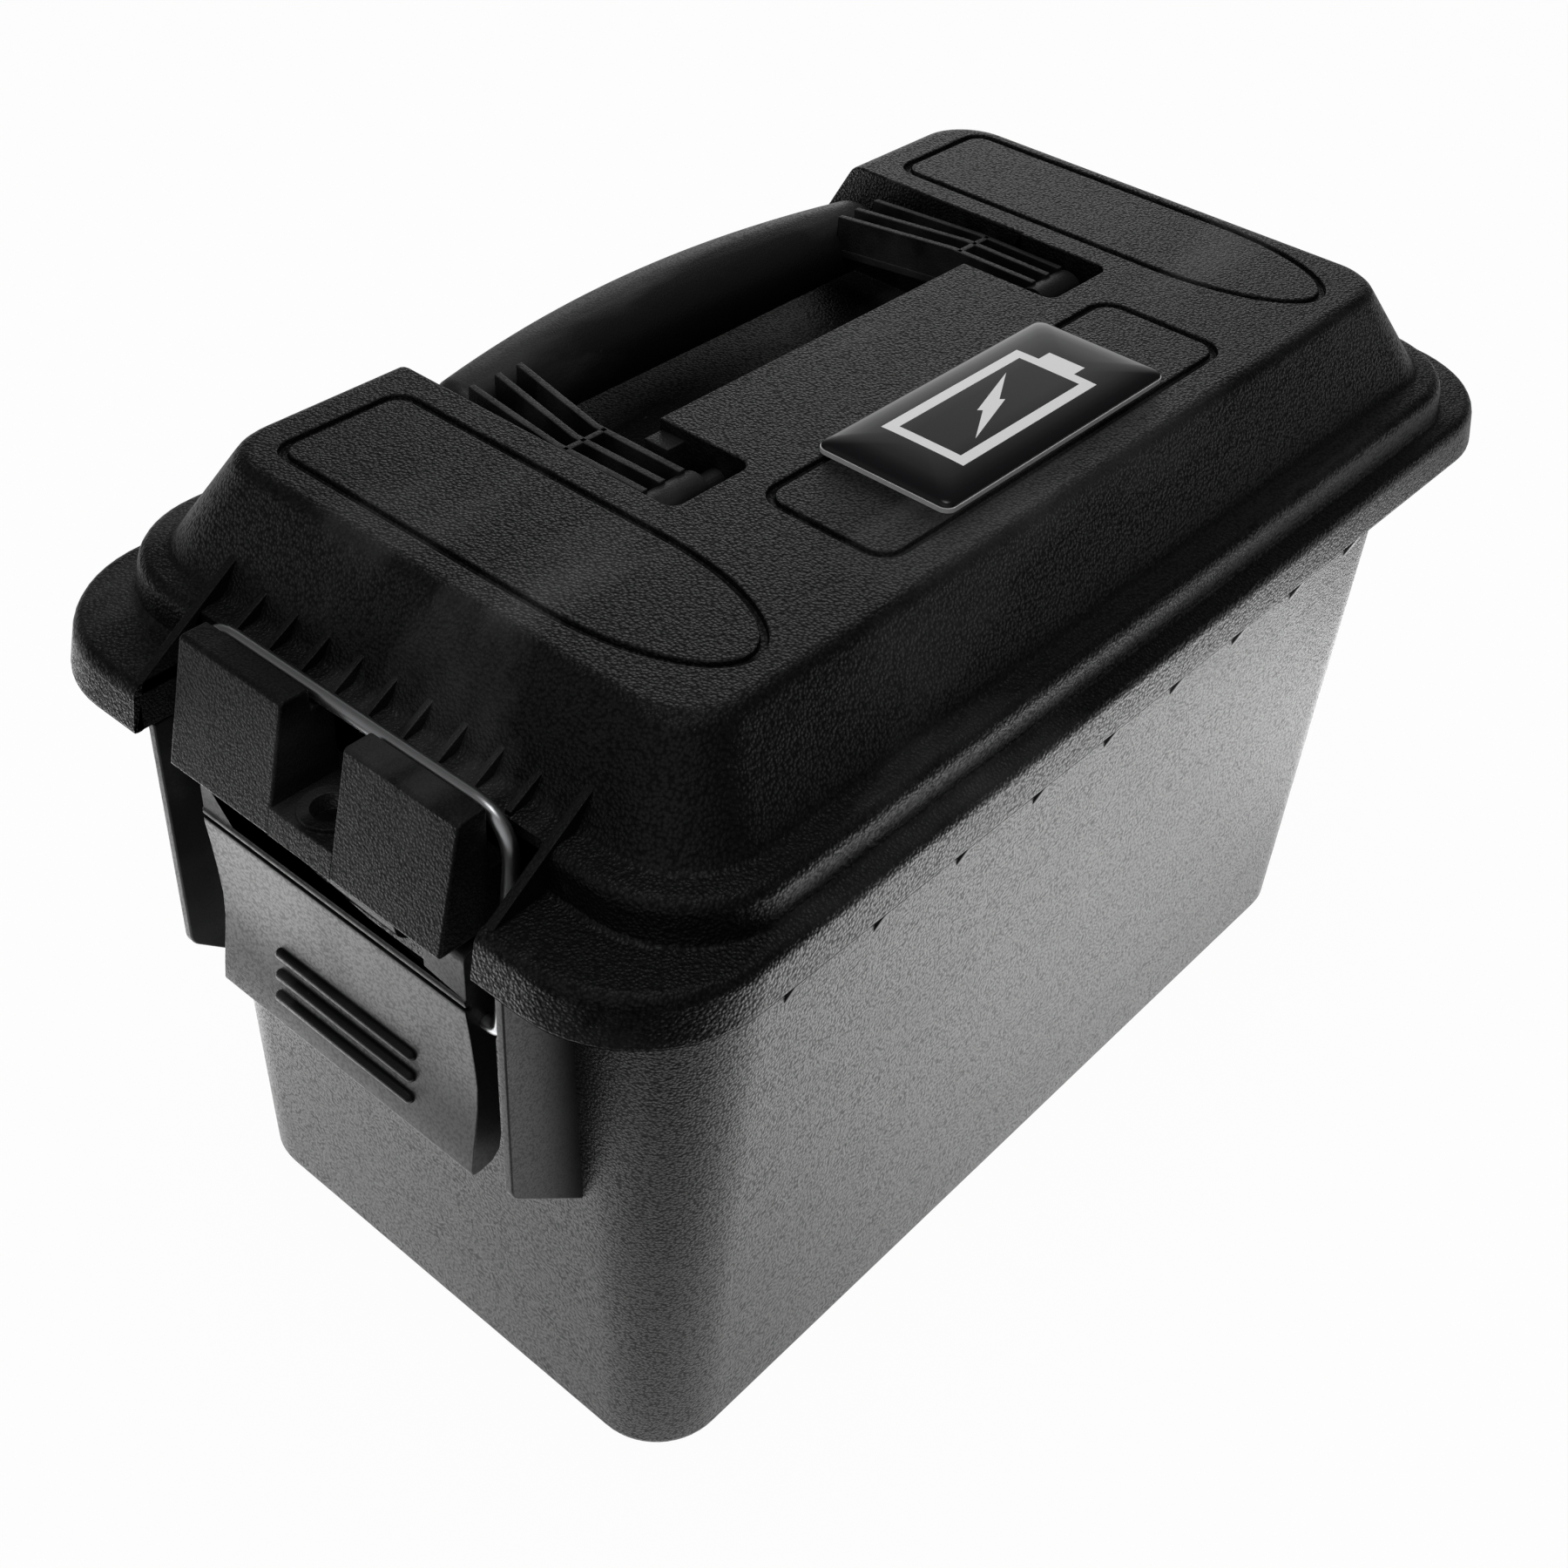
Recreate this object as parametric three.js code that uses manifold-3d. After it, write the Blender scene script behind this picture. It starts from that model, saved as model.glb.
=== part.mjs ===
// Hard plastic battery case in the pattern of an ammunition can.
// Millimetres, +Z up, X across the width, Y along the length, latch at -Y, rear hinge at +Y.
// The origin is the centre of the footprint, on the surface the case stands on.
import * as THREE from 'three';
import { mergeVertices } from 'three/addons/utils/BufferGeometryUtils.js';
import Module from 'manifold-3d';

const wasm = await Module();
wasm.setup();

// ---------------------------------------------------------------- overall sizes
const FLOOR = 3.0;                 // thickness of the tub's bottom
const RIM_Z = 145.5;               // top of the tub's wall
const SKIRT_Z = 139.9;             // lower edge of the lid's skirt
const LEDGE_Z = 150.3;             // top of the lid's outer ledge
const BEAD_Z = 158.6;              // top of the raised bead inside the ledge
const TOP_Z = 178.2;               // flat top of the lid
const TOP_Y = 1.5;                 // the details on top sit this far behind the middle
const GAP = 0.3;                   // running gap between separate pieces

// latch: lever pin, bail feet and crossbar, as places in the Y-Z plane
const LEVER_PIN = { y: -131.0, z: 130.0 };
const BAIL_FOOT = { y: -132.0, z: 117.5 };
const BAIL_BAR = { y: -127.4, z: 160.4 };
const LEVER_HALF = 34.9;           // half width of the lever
const WIRE_R = 1.45;               // bail wire radius
const PIN_R = 1.5;                 // steel pins
const PIN_HOLE_R = 1.8;

// rear hinge and handle pivot
const HINGE = { y: 136.5, z: 138.0, r: 4.0 };
const PIVOT = { x: 4.5, z: 171.5, r: 4.0, pinR: 2.2, holeR: 2.5 };

// handle well and the slots for the handle's arms
const WELL = { x0: -69.5, x1: -10.2, y0: -66.9 + TOP_Y, y1: 67.4 + TOP_Y, floor: 152.5 };
const SLOT = { end: 12.8, inner: 46.4, outer: 66.9, floor: 162.5 };
const KEEPER_HALF = 35.0;          // half width of the keeper blocks
const CHEEK = { inner: 43.4, outer: 45.4 };
const FIN = { inner: 43.8, outer: 45.8 };

// ---------------------------------------------------------------- solid helpers
function toSolid(geometry) {
  const g = geometry.index ? geometry.clone() : geometry;
  g.deleteAttribute('normal');
  g.deleteAttribute('uv');
  const merged = mergeVertices(g, 1e-4);
  const mesh = new wasm.Mesh({
    numProp: 3,
    vertProperties: new Float32Array(merged.attributes.position.array),
    triVerts: new Uint32Array(merged.index.array),
  });
  return new wasm.Manifold(mesh);
}

function toGeometry(solid) {
  const mesh = solid.getMesh();
  const g = new THREE.BufferGeometry();
  g.setAttribute('position', new THREE.BufferAttribute(new Float32Array(mesh.vertProperties), 3));
  g.setIndex(new THREE.BufferAttribute(new Uint32Array(mesh.triVerts), 1));
  g.computeVertexNormals();
  return g;
}

function union(first, ...others) {
  return others.reduce((sum, item) => sum.add(item), first);
}

function cut(first, ...others) {
  return others.reduce((rest, item) => rest.subtract(item), first);
}

// A level rounded rectangle, counter-clockwise from above.
function ring({ hx, hy, r, z, cx = 0, cy = 0 }, steps = 7) {
  const points = [];
  const corners = [[1, 1, 0], [-1, 1, 90], [-1, -1, 180], [1, -1, 270]];
  for (const [sx, sy, start] of corners) {
    for (let i = 0; i <= steps; i += 1) {
      const t = THREE.MathUtils.degToRad(start + (90 * i) / steps);
      const x = cx + sx * (hx - r) + r * Math.cos(t);
      const y = cy + sy * (hy - r) + r * Math.sin(t);
      points.push(new THREE.Vector3(x, y, z));
    }
  }
  return points;
}

// Skin a stack of rings that have the same number of points, and close both ends.
function loft(rings) {
  const n = rings[0].length;
  const position = [];
  const index = [];
  for (const points of rings) {
    for (const p of points) position.push(p.x, p.y, p.z);
  }
  for (let k = 0; k < rings.length - 1; k += 1) {
    for (let i = 0; i < n; i += 1) {
      const a = k * n + i;
      const b = k * n + ((i + 1) % n);
      index.push(a, b, b + n, a, b + n, a + n);
    }
  }
  for (const [k, up] of [[0, false], [rings.length - 1, true]]) {
    const centre = rings[k].reduce((s, p) => s.add(p), new THREE.Vector3()).divideScalar(n);
    const c = position.length / 3;
    position.push(centre.x, centre.y, centre.z);
    for (let i = 0; i < n; i += 1) {
      const a = k * n + i;
      const b = k * n + ((i + 1) % n);
      if (up) index.push(a, b, c);
      else index.push(b, a, c);
    }
  }
  const g = new THREE.BufferGeometry();
  g.setAttribute('position', new THREE.Float32BufferAttribute(position, 3));
  g.setIndex(index);
  return toSolid(g);
}

function box(x0, x1, y0, y1, z0, z1) {
  const g = new THREE.BoxGeometry(x1 - x0, y1 - y0, z1 - z0);
  g.translate((x0 + x1) / 2, (y0 + y1) / 2, (z0 + z1) / 2);
  return toSolid(g);
}

function outline(points) {
  return new THREE.Shape(points.map(([a, b]) => new THREE.Vector2(a, b)));
}

const AXES = {
  // shape (y, z) pushed along +X
  X: new THREE.Matrix4().set(0, 0, 1, 0, 1, 0, 0, 0, 0, 1, 0, 0, 0, 0, 0, 1),
  // shape (z, x) pushed along +Y
  Y: new THREE.Matrix4().set(0, 1, 0, 0, 0, 0, 1, 0, 1, 0, 0, 0, 0, 0, 0, 1),
  // shape (x, y) pushed along +Z
  Z: new THREE.Matrix4(),
};

function prism(axis, shape, from, to, curveSegments = 8) {
  const g = new THREE.ExtrudeGeometry(shape, { depth: to - from, bevelEnabled: false, curveSegments });
  g.translate(0, 0, from);
  g.applyMatrix4(AXES[axis]);
  return toSolid(g);
}

function rod(axis, a, b, r, from, to, sides = 20) {
  const shape = new THREE.Shape();
  for (let i = 0; i < sides; i += 1) {
    const t = (2 * Math.PI * i) / sides;
    const p = [a + r * Math.cos(t), b + r * Math.sin(t)];
    if (i === 0) shape.moveTo(...p);
    else shape.lineTo(...p);
  }
  return prism(axis, shape, from, to);
}

// Rounded rectangle as a shape in the X-Y plane.
function plate(x0, x1, y0, y1, r, z0, z1, steps = 5) {
  const spec = {
    hx: (x1 - x0) / 2, hy: (y1 - y0) / 2, r, cx: (x0 + x1) / 2, cy: (y0 + y1) / 2,
  };
  return loft([ring({ ...spec, z: z0 }, steps), ring({ ...spec, z: z1 }, steps)]);
}

function mirrored(solid, alongX) {
  return solid.mirror(alongX ? [1, 0, 0] : [0, 1, 0]);
}

const group = new THREE.Group();
group.name = 'battery_case';

function addPiece(name, solid, color, roughness, metalness = 0) {
  const material = new THREE.MeshStandardMaterial({ color, roughness, metalness });
  const mesh = new THREE.Mesh(toGeometry(solid), material);
  mesh.name = name;
  group.add(mesh);
}

// ---------------------------------------------------------------- tub
// Moulded polypropylene box, drafted inwards to the base, with a stiffening collar below the rim.
const TUB_RINGS = [
  { hx: 62.6, hy: 117.9, r: 13.8, z: 0 },
  { hx: 63.7, hy: 119.0, r: 14.8, z: 0.6 },
  { hx: 64.3, hy: 119.6, r: 15.4, z: 2.2 },
  { hx: 70.0, hy: 123.3, r: 22.5, z: 140 },
  { hx: 70.0, hy: 123.3, r: 22.5, z: RIM_Z },
];

// The outside of the box, or that shape grown sideways by a gap.
function tubOuter(gap = 0) {
  return loft(TUB_RINGS.map(({ hx, hy, r, z }) => ring({ hx: hx + gap, hy: hy + gap, r: r + gap, z })));
}

function tubInner() {
  return loft([
    ring({ hx: 60.2, hy: 115.5, r: 11.3, z: FLOOR }),
    ring({ hx: 61.5, hy: 116.8, r: 12.6, z: FLOOR + 1.5 }),
    ring({ hx: 67.2, hy: 120.5, r: 19.7, z: 140 }),
    ring({ hx: 67.2, hy: 120.5, r: 19.7, z: RIM_Z + 2 }),
  ]);
}

function tubFlange() {
  const spec = { hx: 77.6, hy: 131.0, r: 26.0 };
  const slab = loft([ring({ ...spec, z: 140.2 }), ring({ ...spec, z: 142.6 })]);
  const latchBay = box(-46.2, 46.2, -140, -123.0, 139, 144);
  return slab.subtract(latchBay);
}

// Nine small gussets carry the flange along each long side.
function tubGussets() {
  const pitch = 23.8;
  const half = 0.9;
  const wedge = outline([[118.5, 67.0], [118.5, 69.0], [138.9, 77.0], [140.4, 77.0], [140.4, 67.0]]);
  let all = null;
  for (let k = -4; k <= 4; k += 1) {
    const one = prism('Y', wedge, k * pitch - half, k * pitch + half);
    const pair = one.add(mirrored(one, true));
    all = all ? all.add(pair) : pair;
  }
  return all;
}

// Two upright guard fins, one each side of the latch, with a rounded lower front corner.
function tubFins() {
  const shape = new THREE.Shape();
  shape.moveTo(-119.0, 139.5);
  shape.lineTo(-137.7, 139.5);
  shape.lineTo(-137.7, 88.4);
  shape.quadraticCurveTo(-137.7, 84.9, -134.6, 82.3);
  shape.lineTo(-119.0, 69.0);
  shape.closePath();
  const fin = prism('X', shape, FIN.inner, FIN.outer, 5);
  return fin.add(mirrored(fin, true));
}

// Round-nosed knuckles that carry the lever's pin.
function tubLatchKnuckles() {
  const { y, z } = LEVER_PIN;
  const nose = 5.0;
  const root = -121.5;
  let all = null;
  for (const [x0, x1] of [[-25.4, -13.0], [0.0, 17.5]]) {
    const barrel = rod('X', y, z, nose, x0, x1, 24);
    const web = box(x0, x1, y, root, z - 4.5, z + 3.0);
    const knuckle = barrel.add(web);
    all = all ? all.add(knuckle) : knuckle;
  }
  return all;
}

function tubHingeKnuckles() {
  const { y, z, r } = HINGE;
  const arm = outline([[121.5, z + r], [y, z + r], [y, z - r], [121.5, z - 9.0]]);
  let all = null;
  for (const [x0, x1] of [[18.5, 27.5], [40.5, 49.5]]) {
    const one = union(rod('X', y, z, r, x0, x1), prism('X', arm, x0, x1));
    const pair = one.add(mirrored(one, true));
    all = all ? all.add(pair) : pair;
  }
  return all;
}

const hingeBores = union(
  rod('X', HINGE.y, HINGE.z, PIN_HOLE_R, 15, 55),
  rod('X', HINGE.y, HINGE.z, PIN_HOLE_R, -55, -15),
);
const leverBore = rod('X', LEVER_PIN.y, LEVER_PIN.z, PIN_HOLE_R, -60, 60);
const tub = cut(union(tubOuter(), tubFins(), tubLatchKnuckles()), tubInner(), leverBore);
addPiece('tub', tub, 0x1b1b1c, 0.62);

// The collar: flange, gussets and hinge knuckles, seated round the wall of the box.
const collarBody = union(tubFlange(), tubGussets(), tubHingeKnuckles());
addPiece('tub_collar', cut(collarBody, tubOuter(0.3), hingeBores), 0x1b1b1c, 0.62);

// ---------------------------------------------------------------- lid
// Stepped lid: skirt, ledge, rounded bead, slanted walls and a flat top.
const LID_RINGS = [
  { hx: 80.9, hy: 141.9, r: 26.5, z: SKIRT_Z },
  { hx: 80.5, hy: 140.7, r: 27.4, z: 147.4 },
  { hx: 80.1, hy: 140.2, r: 27.0, z: 149.0 },
  { hx: 79.1, hy: 139.1, r: 26.0, z: 149.8 },
  { hx: 78.0, hy: 138.0, r: 25.0, z: 149.9 },
  { hx: 76.4, hy: 127.4, r: 21.9, z: LEDGE_Z },
  { hx: 76.0, hy: 126.8, r: 21.6, z: 151.0 },
  { hx: 75.9, hy: 126.5, r: 22.4, z: 156.0 },
  { hx: 75.3, hy: 125.9, r: 22.0, z: 157.4 },
  { hx: 73.9, hy: 124.5, r: 20.8, z: 158.2 },
  { hx: 70.2, hy: 120.9, r: 16.6, z: BEAD_Z },
  { hx: 68.8, hy: 119.6, r: 15.4, z: 159.8 },
  { hx: 59.3, hy: 110.2, r: 12.2, z: 176.3 },
  { hx: 58.4, hy: 109.3, r: 11.8, z: 177.4 },
  { hx: 56.6, hy: 107.6, r: 11.2, z: TOP_Z },
];

function lidOuter() {
  return loft(LID_RINGS.map((spec) => ring(spec)));
}

// The lid fits over the tub's flange and rim, and is hollow above its sealing land.
function lidSkirtHollow() {
  const skirt = { hx: 78.6, hy: 139.6, r: 24.4 };
  const land = { hx: 73.2, hy: 123.8, r: 20.6 };
  return union(
    loft([ring({ ...skirt, z: SKIRT_Z - 2 }), ring({ ...skirt, z: 147.3 })]),
    loft([ring({ ...land, z: 147.0 }), ring({ ...land, z: 148.5 })]),
  );
}

function lidUpperHollow() {
  return loft([
    ring({ hx: 65.0, hy: 116.0, r: 12.4, z: 148.0 }),
    ring({ hx: 65.0, hy: 116.0, r: 12.4, z: 159.0 }),
    ring({ hx: 55.6, hy: 106.6, r: 8.4, z: 175.4 }),
  ]);
}

// The handle well with its two arm slots; grow thickens it so the hollow below keeps a wall.
function handleWell(grow) {
  const top = 200;
  const side = WELL.x0 - grow;
  const well = box(side, WELL.x1 + grow, WELL.y0 - grow, WELL.y1 + grow, WELL.floor - grow, top);
  const mouth = box(-95, WELL.x1, WELL.y0, WELL.y1, BEAD_Z, top);
  const slots = [-1, 1].map((s) => {
    const near = TOP_Y + s * (SLOT.inner - grow);
    const far = TOP_Y + s * (SLOT.outer + grow);
    const [y0, y1] = [Math.min(near, far), Math.max(near, far)];
    return plate(-20, SLOT.end + grow, y0, y1, 2.5, SLOT.floor - grow, top, 4);
  });
  return grow > 0 ? union(well, ...slots) : union(well, mouth, ...slots);
}

// Outline of a raised end pad: square end towards -X, elliptical tip towards +X.
function padOutline(inset) {
  const left = -50.8 + inset;
  const w = 15.3 - inset;
  const corner = 4.5 - inset * 0.5;
  const straight = 18.0;
  const tip = 34.2 - inset;
  const shape = new THREE.Shape();
  shape.moveTo(straight, -w);
  for (let i = 1; i <= 18; i += 1) {
    const t = -Math.PI / 2 + (Math.PI * i) / 18;
    shape.lineTo(straight + tip * Math.cos(t), w * Math.sin(t));
  }
  shape.lineTo(left + corner, w);
  shape.quadraticCurveTo(left, w, left, w - corner);
  shape.lineTo(left, -w + corner);
  shape.quadraticCurveTo(left, -w, left + corner, -w);
  shape.closePath();
  return shape;
}

// Moulded grooves, 1.1 mm deep, around both end pads and around the label field.
function topGrooves() {
  const depth = 1.1;
  const width = 1.5;
  const low = TOP_Z - depth;
  const high = TOP_Z + 5;
  const pad = prism('Z', padOutline(0), low, high, 4)
    .subtract(prism('Z', padOutline(width), low - 1, high + 1, 4));
  const front = pad.translate([0, TOP_Y - 88.9, 0]);
  const rear = pad.translate([0, TOP_Y + 88.9, 0]);
  const y0 = TOP_Y - 53.9;
  const y1 = TOP_Y + 55.0;
  const label = plate(19.9, 50.3, y0, y1, 5.5, low, high)
    .subtract(plate(19.9 + width, 50.3 - width, y0 + width, y1 - width, 4.2, low - 1, high + 1));
  return union(front, rear, label);
}

// Latch bay: the skirt, ledge and bead stop between the two cheek ribs.
function latchBay() {
  return union(
    box(-CHEEK.inner, CHEEK.inner, -150, -125.2, SKIRT_Z - 5, BEAD_Z + 12),
  );
}

function cheekRibs() {
  const shape = outline([[-123.8, SKIRT_Z], [-141.6, SKIRT_Z], [-138.9, 149.4], [-113.6, 167.2],
    [-110.0, 160.0], [-123.8, 149.0]]);
  const rib = prism('X', shape, CHEEK.inner, CHEEK.outer);
  return rib.add(mirrored(rib, true));
}

// Nine low triangular ribs between the slanted wall and the wire channel.
function frontRibs() {
  const pitch = 8.6;
  const half = 0.7;
  const shape = outline([[-112.0, 157.0], [-124.9, 157.0], [-124.9, 158.9], [-116.3, 163.9],
    [-112.0, 163.9]]);
  let all = null;
  for (let k = -4; k <= 4; k += 1) {
    const rib = prism('X', shape, k * pitch - half, k * pitch + half);
    all = all ? all.add(rib) : rib;
  }
  return all;
}

// Keeper: two blocks in front of the bead that the bail hooks behind, joined by a shelf
// with a raised ring and a hole for a padlock.
function keeper() {
  const face = outline([[-124.9, 137.8], [-141.0, 137.8], [-135.4, 162.0], [-134.8, 162.7],
    [-124.9, 162.7]]);
  const strip = outline([[-124.9, 140.4], [-138.6, 140.4], [-138.6, 137.8], [-141.0, 137.8],
    [-139.8, 143.2], [-124.9, 143.2]]);
  const blocks = prism('X', face, 7.8, KEEPER_HALF);
  const shelf = prism('X', strip, -8.5, 8.5);
  const boss = rod('Z', 0, -133.2, 5.9, 142.8, 144.2, 28);
  const all = union(blocks, mirrored(blocks, true), shelf, boss);
  const channel = box(-60, 60, -129.5, -125.2, BEAD_Z, 170);
  const bendRelief = box(27.0, 40.0, -129.5, -125.2, 150.0, 170);
  const hole = rod('Z', 0, -133.2, 3.6, 130, 150, 28);
  return cut(all, channel, bendRelief, mirrored(bendRelief, true), hole);
}

// The bail's legs pass down between the keeper and the cheek ribs.
function latchBayWall() {
  return box(-CHEEK.outer, CHEEK.outer, -125.2, -123.8, SKIRT_Z, BEAD_Z - 4);
}

// Rear: the skirt is notched over each hinge, and one lid knuckle hangs between the tub's two.
function hingeNotches() {
  const one = box(17.5, 50.5, 131.0, 150.0, SKIRT_Z - 5, 146.2);
  return one.add(mirrored(one, true));
}

function lidHingeKnuckles() {
  const { y, z, r } = HINGE;
  const one = union(rod('X', y, z, r, 28.2, 39.8), box(28.2, 39.8, y - r, y + r, z, 148.4));
  return one.add(mirrored(one, true));
}

// Small moulded catch on the side of the centre panel, beside the front arm.
function handleCatch() {
  const y1 = TOP_Y - SLOT.inner + 1.0;
  return box(-9.6, -3.6, y1 - 4.6, y1, 166.0, 176.0);
}

function pivotBores() {
  const near = SLOT.inner - 4.0;
  const far = SLOT.outer + 2.6;
  const { z, x, holeR } = PIVOT;
  return union(
    rod('Y', z, x, holeR, TOP_Y - far, TOP_Y - near),
    rod('Y', z, x, holeR, TOP_Y + near, TOP_Y + far),
  );
}

function makeLid() {
  const shell = cut(lidOuter(), lidSkirtHollow(), lidUpperHollow().subtract(handleWell(2.7)));
  const pocketed = cut(shell, handleWell(0), latchBay(), hingeNotches(), topGrooves());
  const ribsInside = frontRibs().subtract(lidUpperHollow());
  const cheeksInside = cheekRibs().subtract(lidUpperHollow());
  const built = union(
    pocketed, latchBayWall(), cheeksInside, ribsInside, keeper(), lidHingeKnuckles(), handleCatch(),
  );
  return cut(built, pivotBores(), hingeBores);
}
const lid = makeLid();
addPiece('lid', lid, 0x19191a, 0.62);

// ---------------------------------------------------------------- lid seal
// Soft rubber ring under the lid, above the tub's rim.
const sealOut = { hx: 69.8, hy: 123.1, r: 22.3 };
const sealIn = { hx: 67.4, hy: 120.7, r: 19.9 };
const sealLow = RIM_Z + GAP;
const sealHigh = 148.5 - GAP;
const seal = loft([ring({ ...sealOut, z: sealLow }), ring({ ...sealOut, z: sealHigh })])
  .subtract(loft([ring({ ...sealIn, z: sealLow - 1 }), ring({ ...sealIn, z: sealHigh + 1 })]));
addPiece('lid_seal', seal, 0x0f0f10, 0.9);

// ---------------------------------------------------------------- latch lever
// Flap with a dished face and flared lower lip, side walls, end posts round the pin,
// and a thin bar across the window in front of the tub's knuckles.
const FLAP_FACE = [[-136.2, 123.5], [-136.2, 121.5], [-135.4, 113.0], [-134.9, 104.0],
  [-135.5, 96.0], [-136.6, 88.0], [-137.3, 83.0]];
const FLAP_WALL = 2.3;

function leverFlap() {
  const back = FLAP_FACE.map(([y, z]) => [y + FLAP_WALL, z]).reverse();
  return prism('X', outline([...FLAP_FACE, ...back]), -LEVER_HALF, LEVER_HALF);
}

function leverSide() {
  const shape = new THREE.Shape();
  shape.moveTo(...FLAP_FACE[0]);
  for (const p of FLAP_FACE.slice(1)) shape.lineTo(...p);
  shape.lineTo(-135.0, 81.9);
  shape.quadraticCurveTo(-130.9, 82.6, -130.1, 87.5);
  shape.lineTo(-130.1, 111.5);
  shape.lineTo(-128.6, 114.5);
  shape.lineTo(-128.6, 124.0);
  shape.closePath();
  const side = prism('X', shape, LEVER_HALF - 2.0, LEVER_HALF, 5);
  return side.add(mirrored(side, true));
}

function leverPosts() {
  const { y, z } = LEVER_PIN;
  const shape = new THREE.Shape();
  shape.moveTo(-136.0, 120.0);
  shape.lineTo(-136.0, 134.0);
  shape.quadraticCurveTo(-136.0, 135.4, -134.6, 135.4);
  shape.lineTo(-130.0, 135.4);
  shape.lineTo(y + 4.5, z + 3.0);
  shape.lineTo(y + 4.5, z - 3.0);
  shape.lineTo(-128.6, 120.0);
  shape.closePath();
  const left = prism('X', shape, -LEVER_HALF, -25.9, 5);
  const right = prism('X', shape, 24.5, LEVER_HALF, 5);
  return left.add(right);
}

// Raised finger rib: a bar of round section with ball ends, half sunk in the flap.
function fingerRib(y, z) {
  const half = 17.8;
  const r = 1.25;
  const profile = [new THREE.Vector2(0, -half - r)];
  for (let i = 1; i <= 3; i += 1) {
    const t = (Math.PI / 2) * (i / 3);
    profile.push(new THREE.Vector2(r * Math.sin(t), -half - r * Math.cos(t)));
  }
  for (let i = 3; i >= 1; i -= 1) {
    const t = (Math.PI / 2) * (i / 3);
    profile.push(new THREE.Vector2(r * Math.sin(t), half + r * Math.cos(t)));
  }
  profile.push(new THREE.Vector2(0, half + r));
  const g = new THREE.LatheGeometry(profile, 14);
  g.rotateZ(-Math.PI / 2);
  g.translate(0, y, z);
  return toSolid(g);
}

function makeLever() {
  const bar = box(-30, 30, -136.0, -134.3, 120.0, 125.2);
  const shell = union(leverFlap(), leverSide(), leverPosts(), bar);
  const groove = box(-40, 40, -145, -134.9, 122.7, 123.5);
  const bailHoles = rod('X', BAIL_FOOT.y, BAIL_FOOT.z, PIN_HOLE_R, -60, 60);
  const ribs = [[-135.3, 99.0], [-135.8, 94.0], [-136.5, 89.0]].map((p) => fingerRib(...p));
  return union(cut(shell, groove, leverBore, bailHoles), ...ribs);
}
addPiece('latch_lever', makeLever(), 0x202021, 0.4);

const pinEnd = LEVER_HALF - 0.4;
addPiece('latch_pin', rod('X', LEVER_PIN.y, LEVER_PIN.z, PIN_R, -pinEnd, pinEnd), 0xa8a8aa, 0.35, 1);

// ---------------------------------------------------------------- bail
// One bent steel wire: crossbar, two legs and two inward feet in the lever's side walls.
function bailPath() {
  const legX = 38.6;
  const footX = 31.4;
  const low = new THREE.Vector3(legX, BAIL_FOOT.y, BAIL_FOOT.z);
  const high = new THREE.Vector3(legX, BAIL_BAR.y, BAIL_BAR.z);
  const along = high.clone().sub(low).normalize();
  const inward = new THREE.Vector3(-1, 0, 0);
  const path = new THREE.CurvePath();
  const bend = (corner, from, to, r) => {
    const a = corner.clone().addScaledVector(from, -r);
    const b = corner.clone().addScaledVector(to, r);
    return new THREE.QuadraticBezierCurve3(a, corner, b);
  };
  const footBend = bend(low, inward.clone().negate(), along, 2.6);
  const topBend = bend(high, along, inward, 9.0);
  const footEnd = new THREE.Vector3(footX, BAIL_FOOT.y, BAIL_FOOT.z);
  const middle = new THREE.Vector3(0, BAIL_BAR.y, BAIL_BAR.z);
  path.add(new THREE.LineCurve3(footEnd, footBend.v0));
  path.add(footBend);
  path.add(new THREE.LineCurve3(footBend.v2, topBend.v0));
  path.add(topBend);
  path.add(new THREE.LineCurve3(topBend.v2, middle));
  return path;
}

function makeBail() {
  const circle = new THREE.Shape();
  circle.absarc(0, 0, WIRE_R, 0, 2 * Math.PI, false);
  const path = bailPath();
  const g = new THREE.ExtrudeGeometry(circle, { steps: 44, extrudePath: path, curveSegments: 6 });
  const half = toSolid(g);
  const overlap = rod('X', BAIL_BAR.y, BAIL_BAR.z, WIRE_R * 0.98, -1, 1, 12);
  return union(half, mirrored(half, true), overlap);
}
addPiece('bail', makeBail(), 0xc8cacd, 0.25, 1);

// ---------------------------------------------------------------- handle
// Round grip that bows outwards, on two arms of three thin ribs over a web.
function gripRing(v) {
  const half = 62.0;
  const y = TOP_Y + half * v;
  const bow = 1 - v * v;
  const r = 7.4 + 2.6 * bow;
  const x = -50.4 - 5.4 * bow;
  const z = 166.6 - 1.1 * bow;
  const end = Math.abs(v) > 0.999 ? 0.62 : 1;
  const points = [];
  for (let i = 0; i < 24; i += 1) {
    const t = (2 * Math.PI * i) / 24;
    points.push(new THREE.Vector3(x + r * end * Math.sin(t), y, z + r * end * Math.cos(t)));
  }
  return points;
}

function grip() {
  const stations = [-1, -0.965];
  for (let i = -8; i <= 8; i += 1) stations.push(i / 8.8);
  stations.push(0.965, 1);
  return loft(stations.map(gripRing));
}

// One thin rib of an arm in plan, from the pivot to the grip, with a bend part-way.
function armRib(near, bendY, farY, x1) {
  const half = 0.8;
  const shape = outline([[x1, near - half], [x1, near + half], [-19, bendY + half],
    [-46, farY + half], [-46, farY - half], [-19, bendY - half]]);
  return prism('Z', shape, 166.6, 176.0);
}

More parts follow.
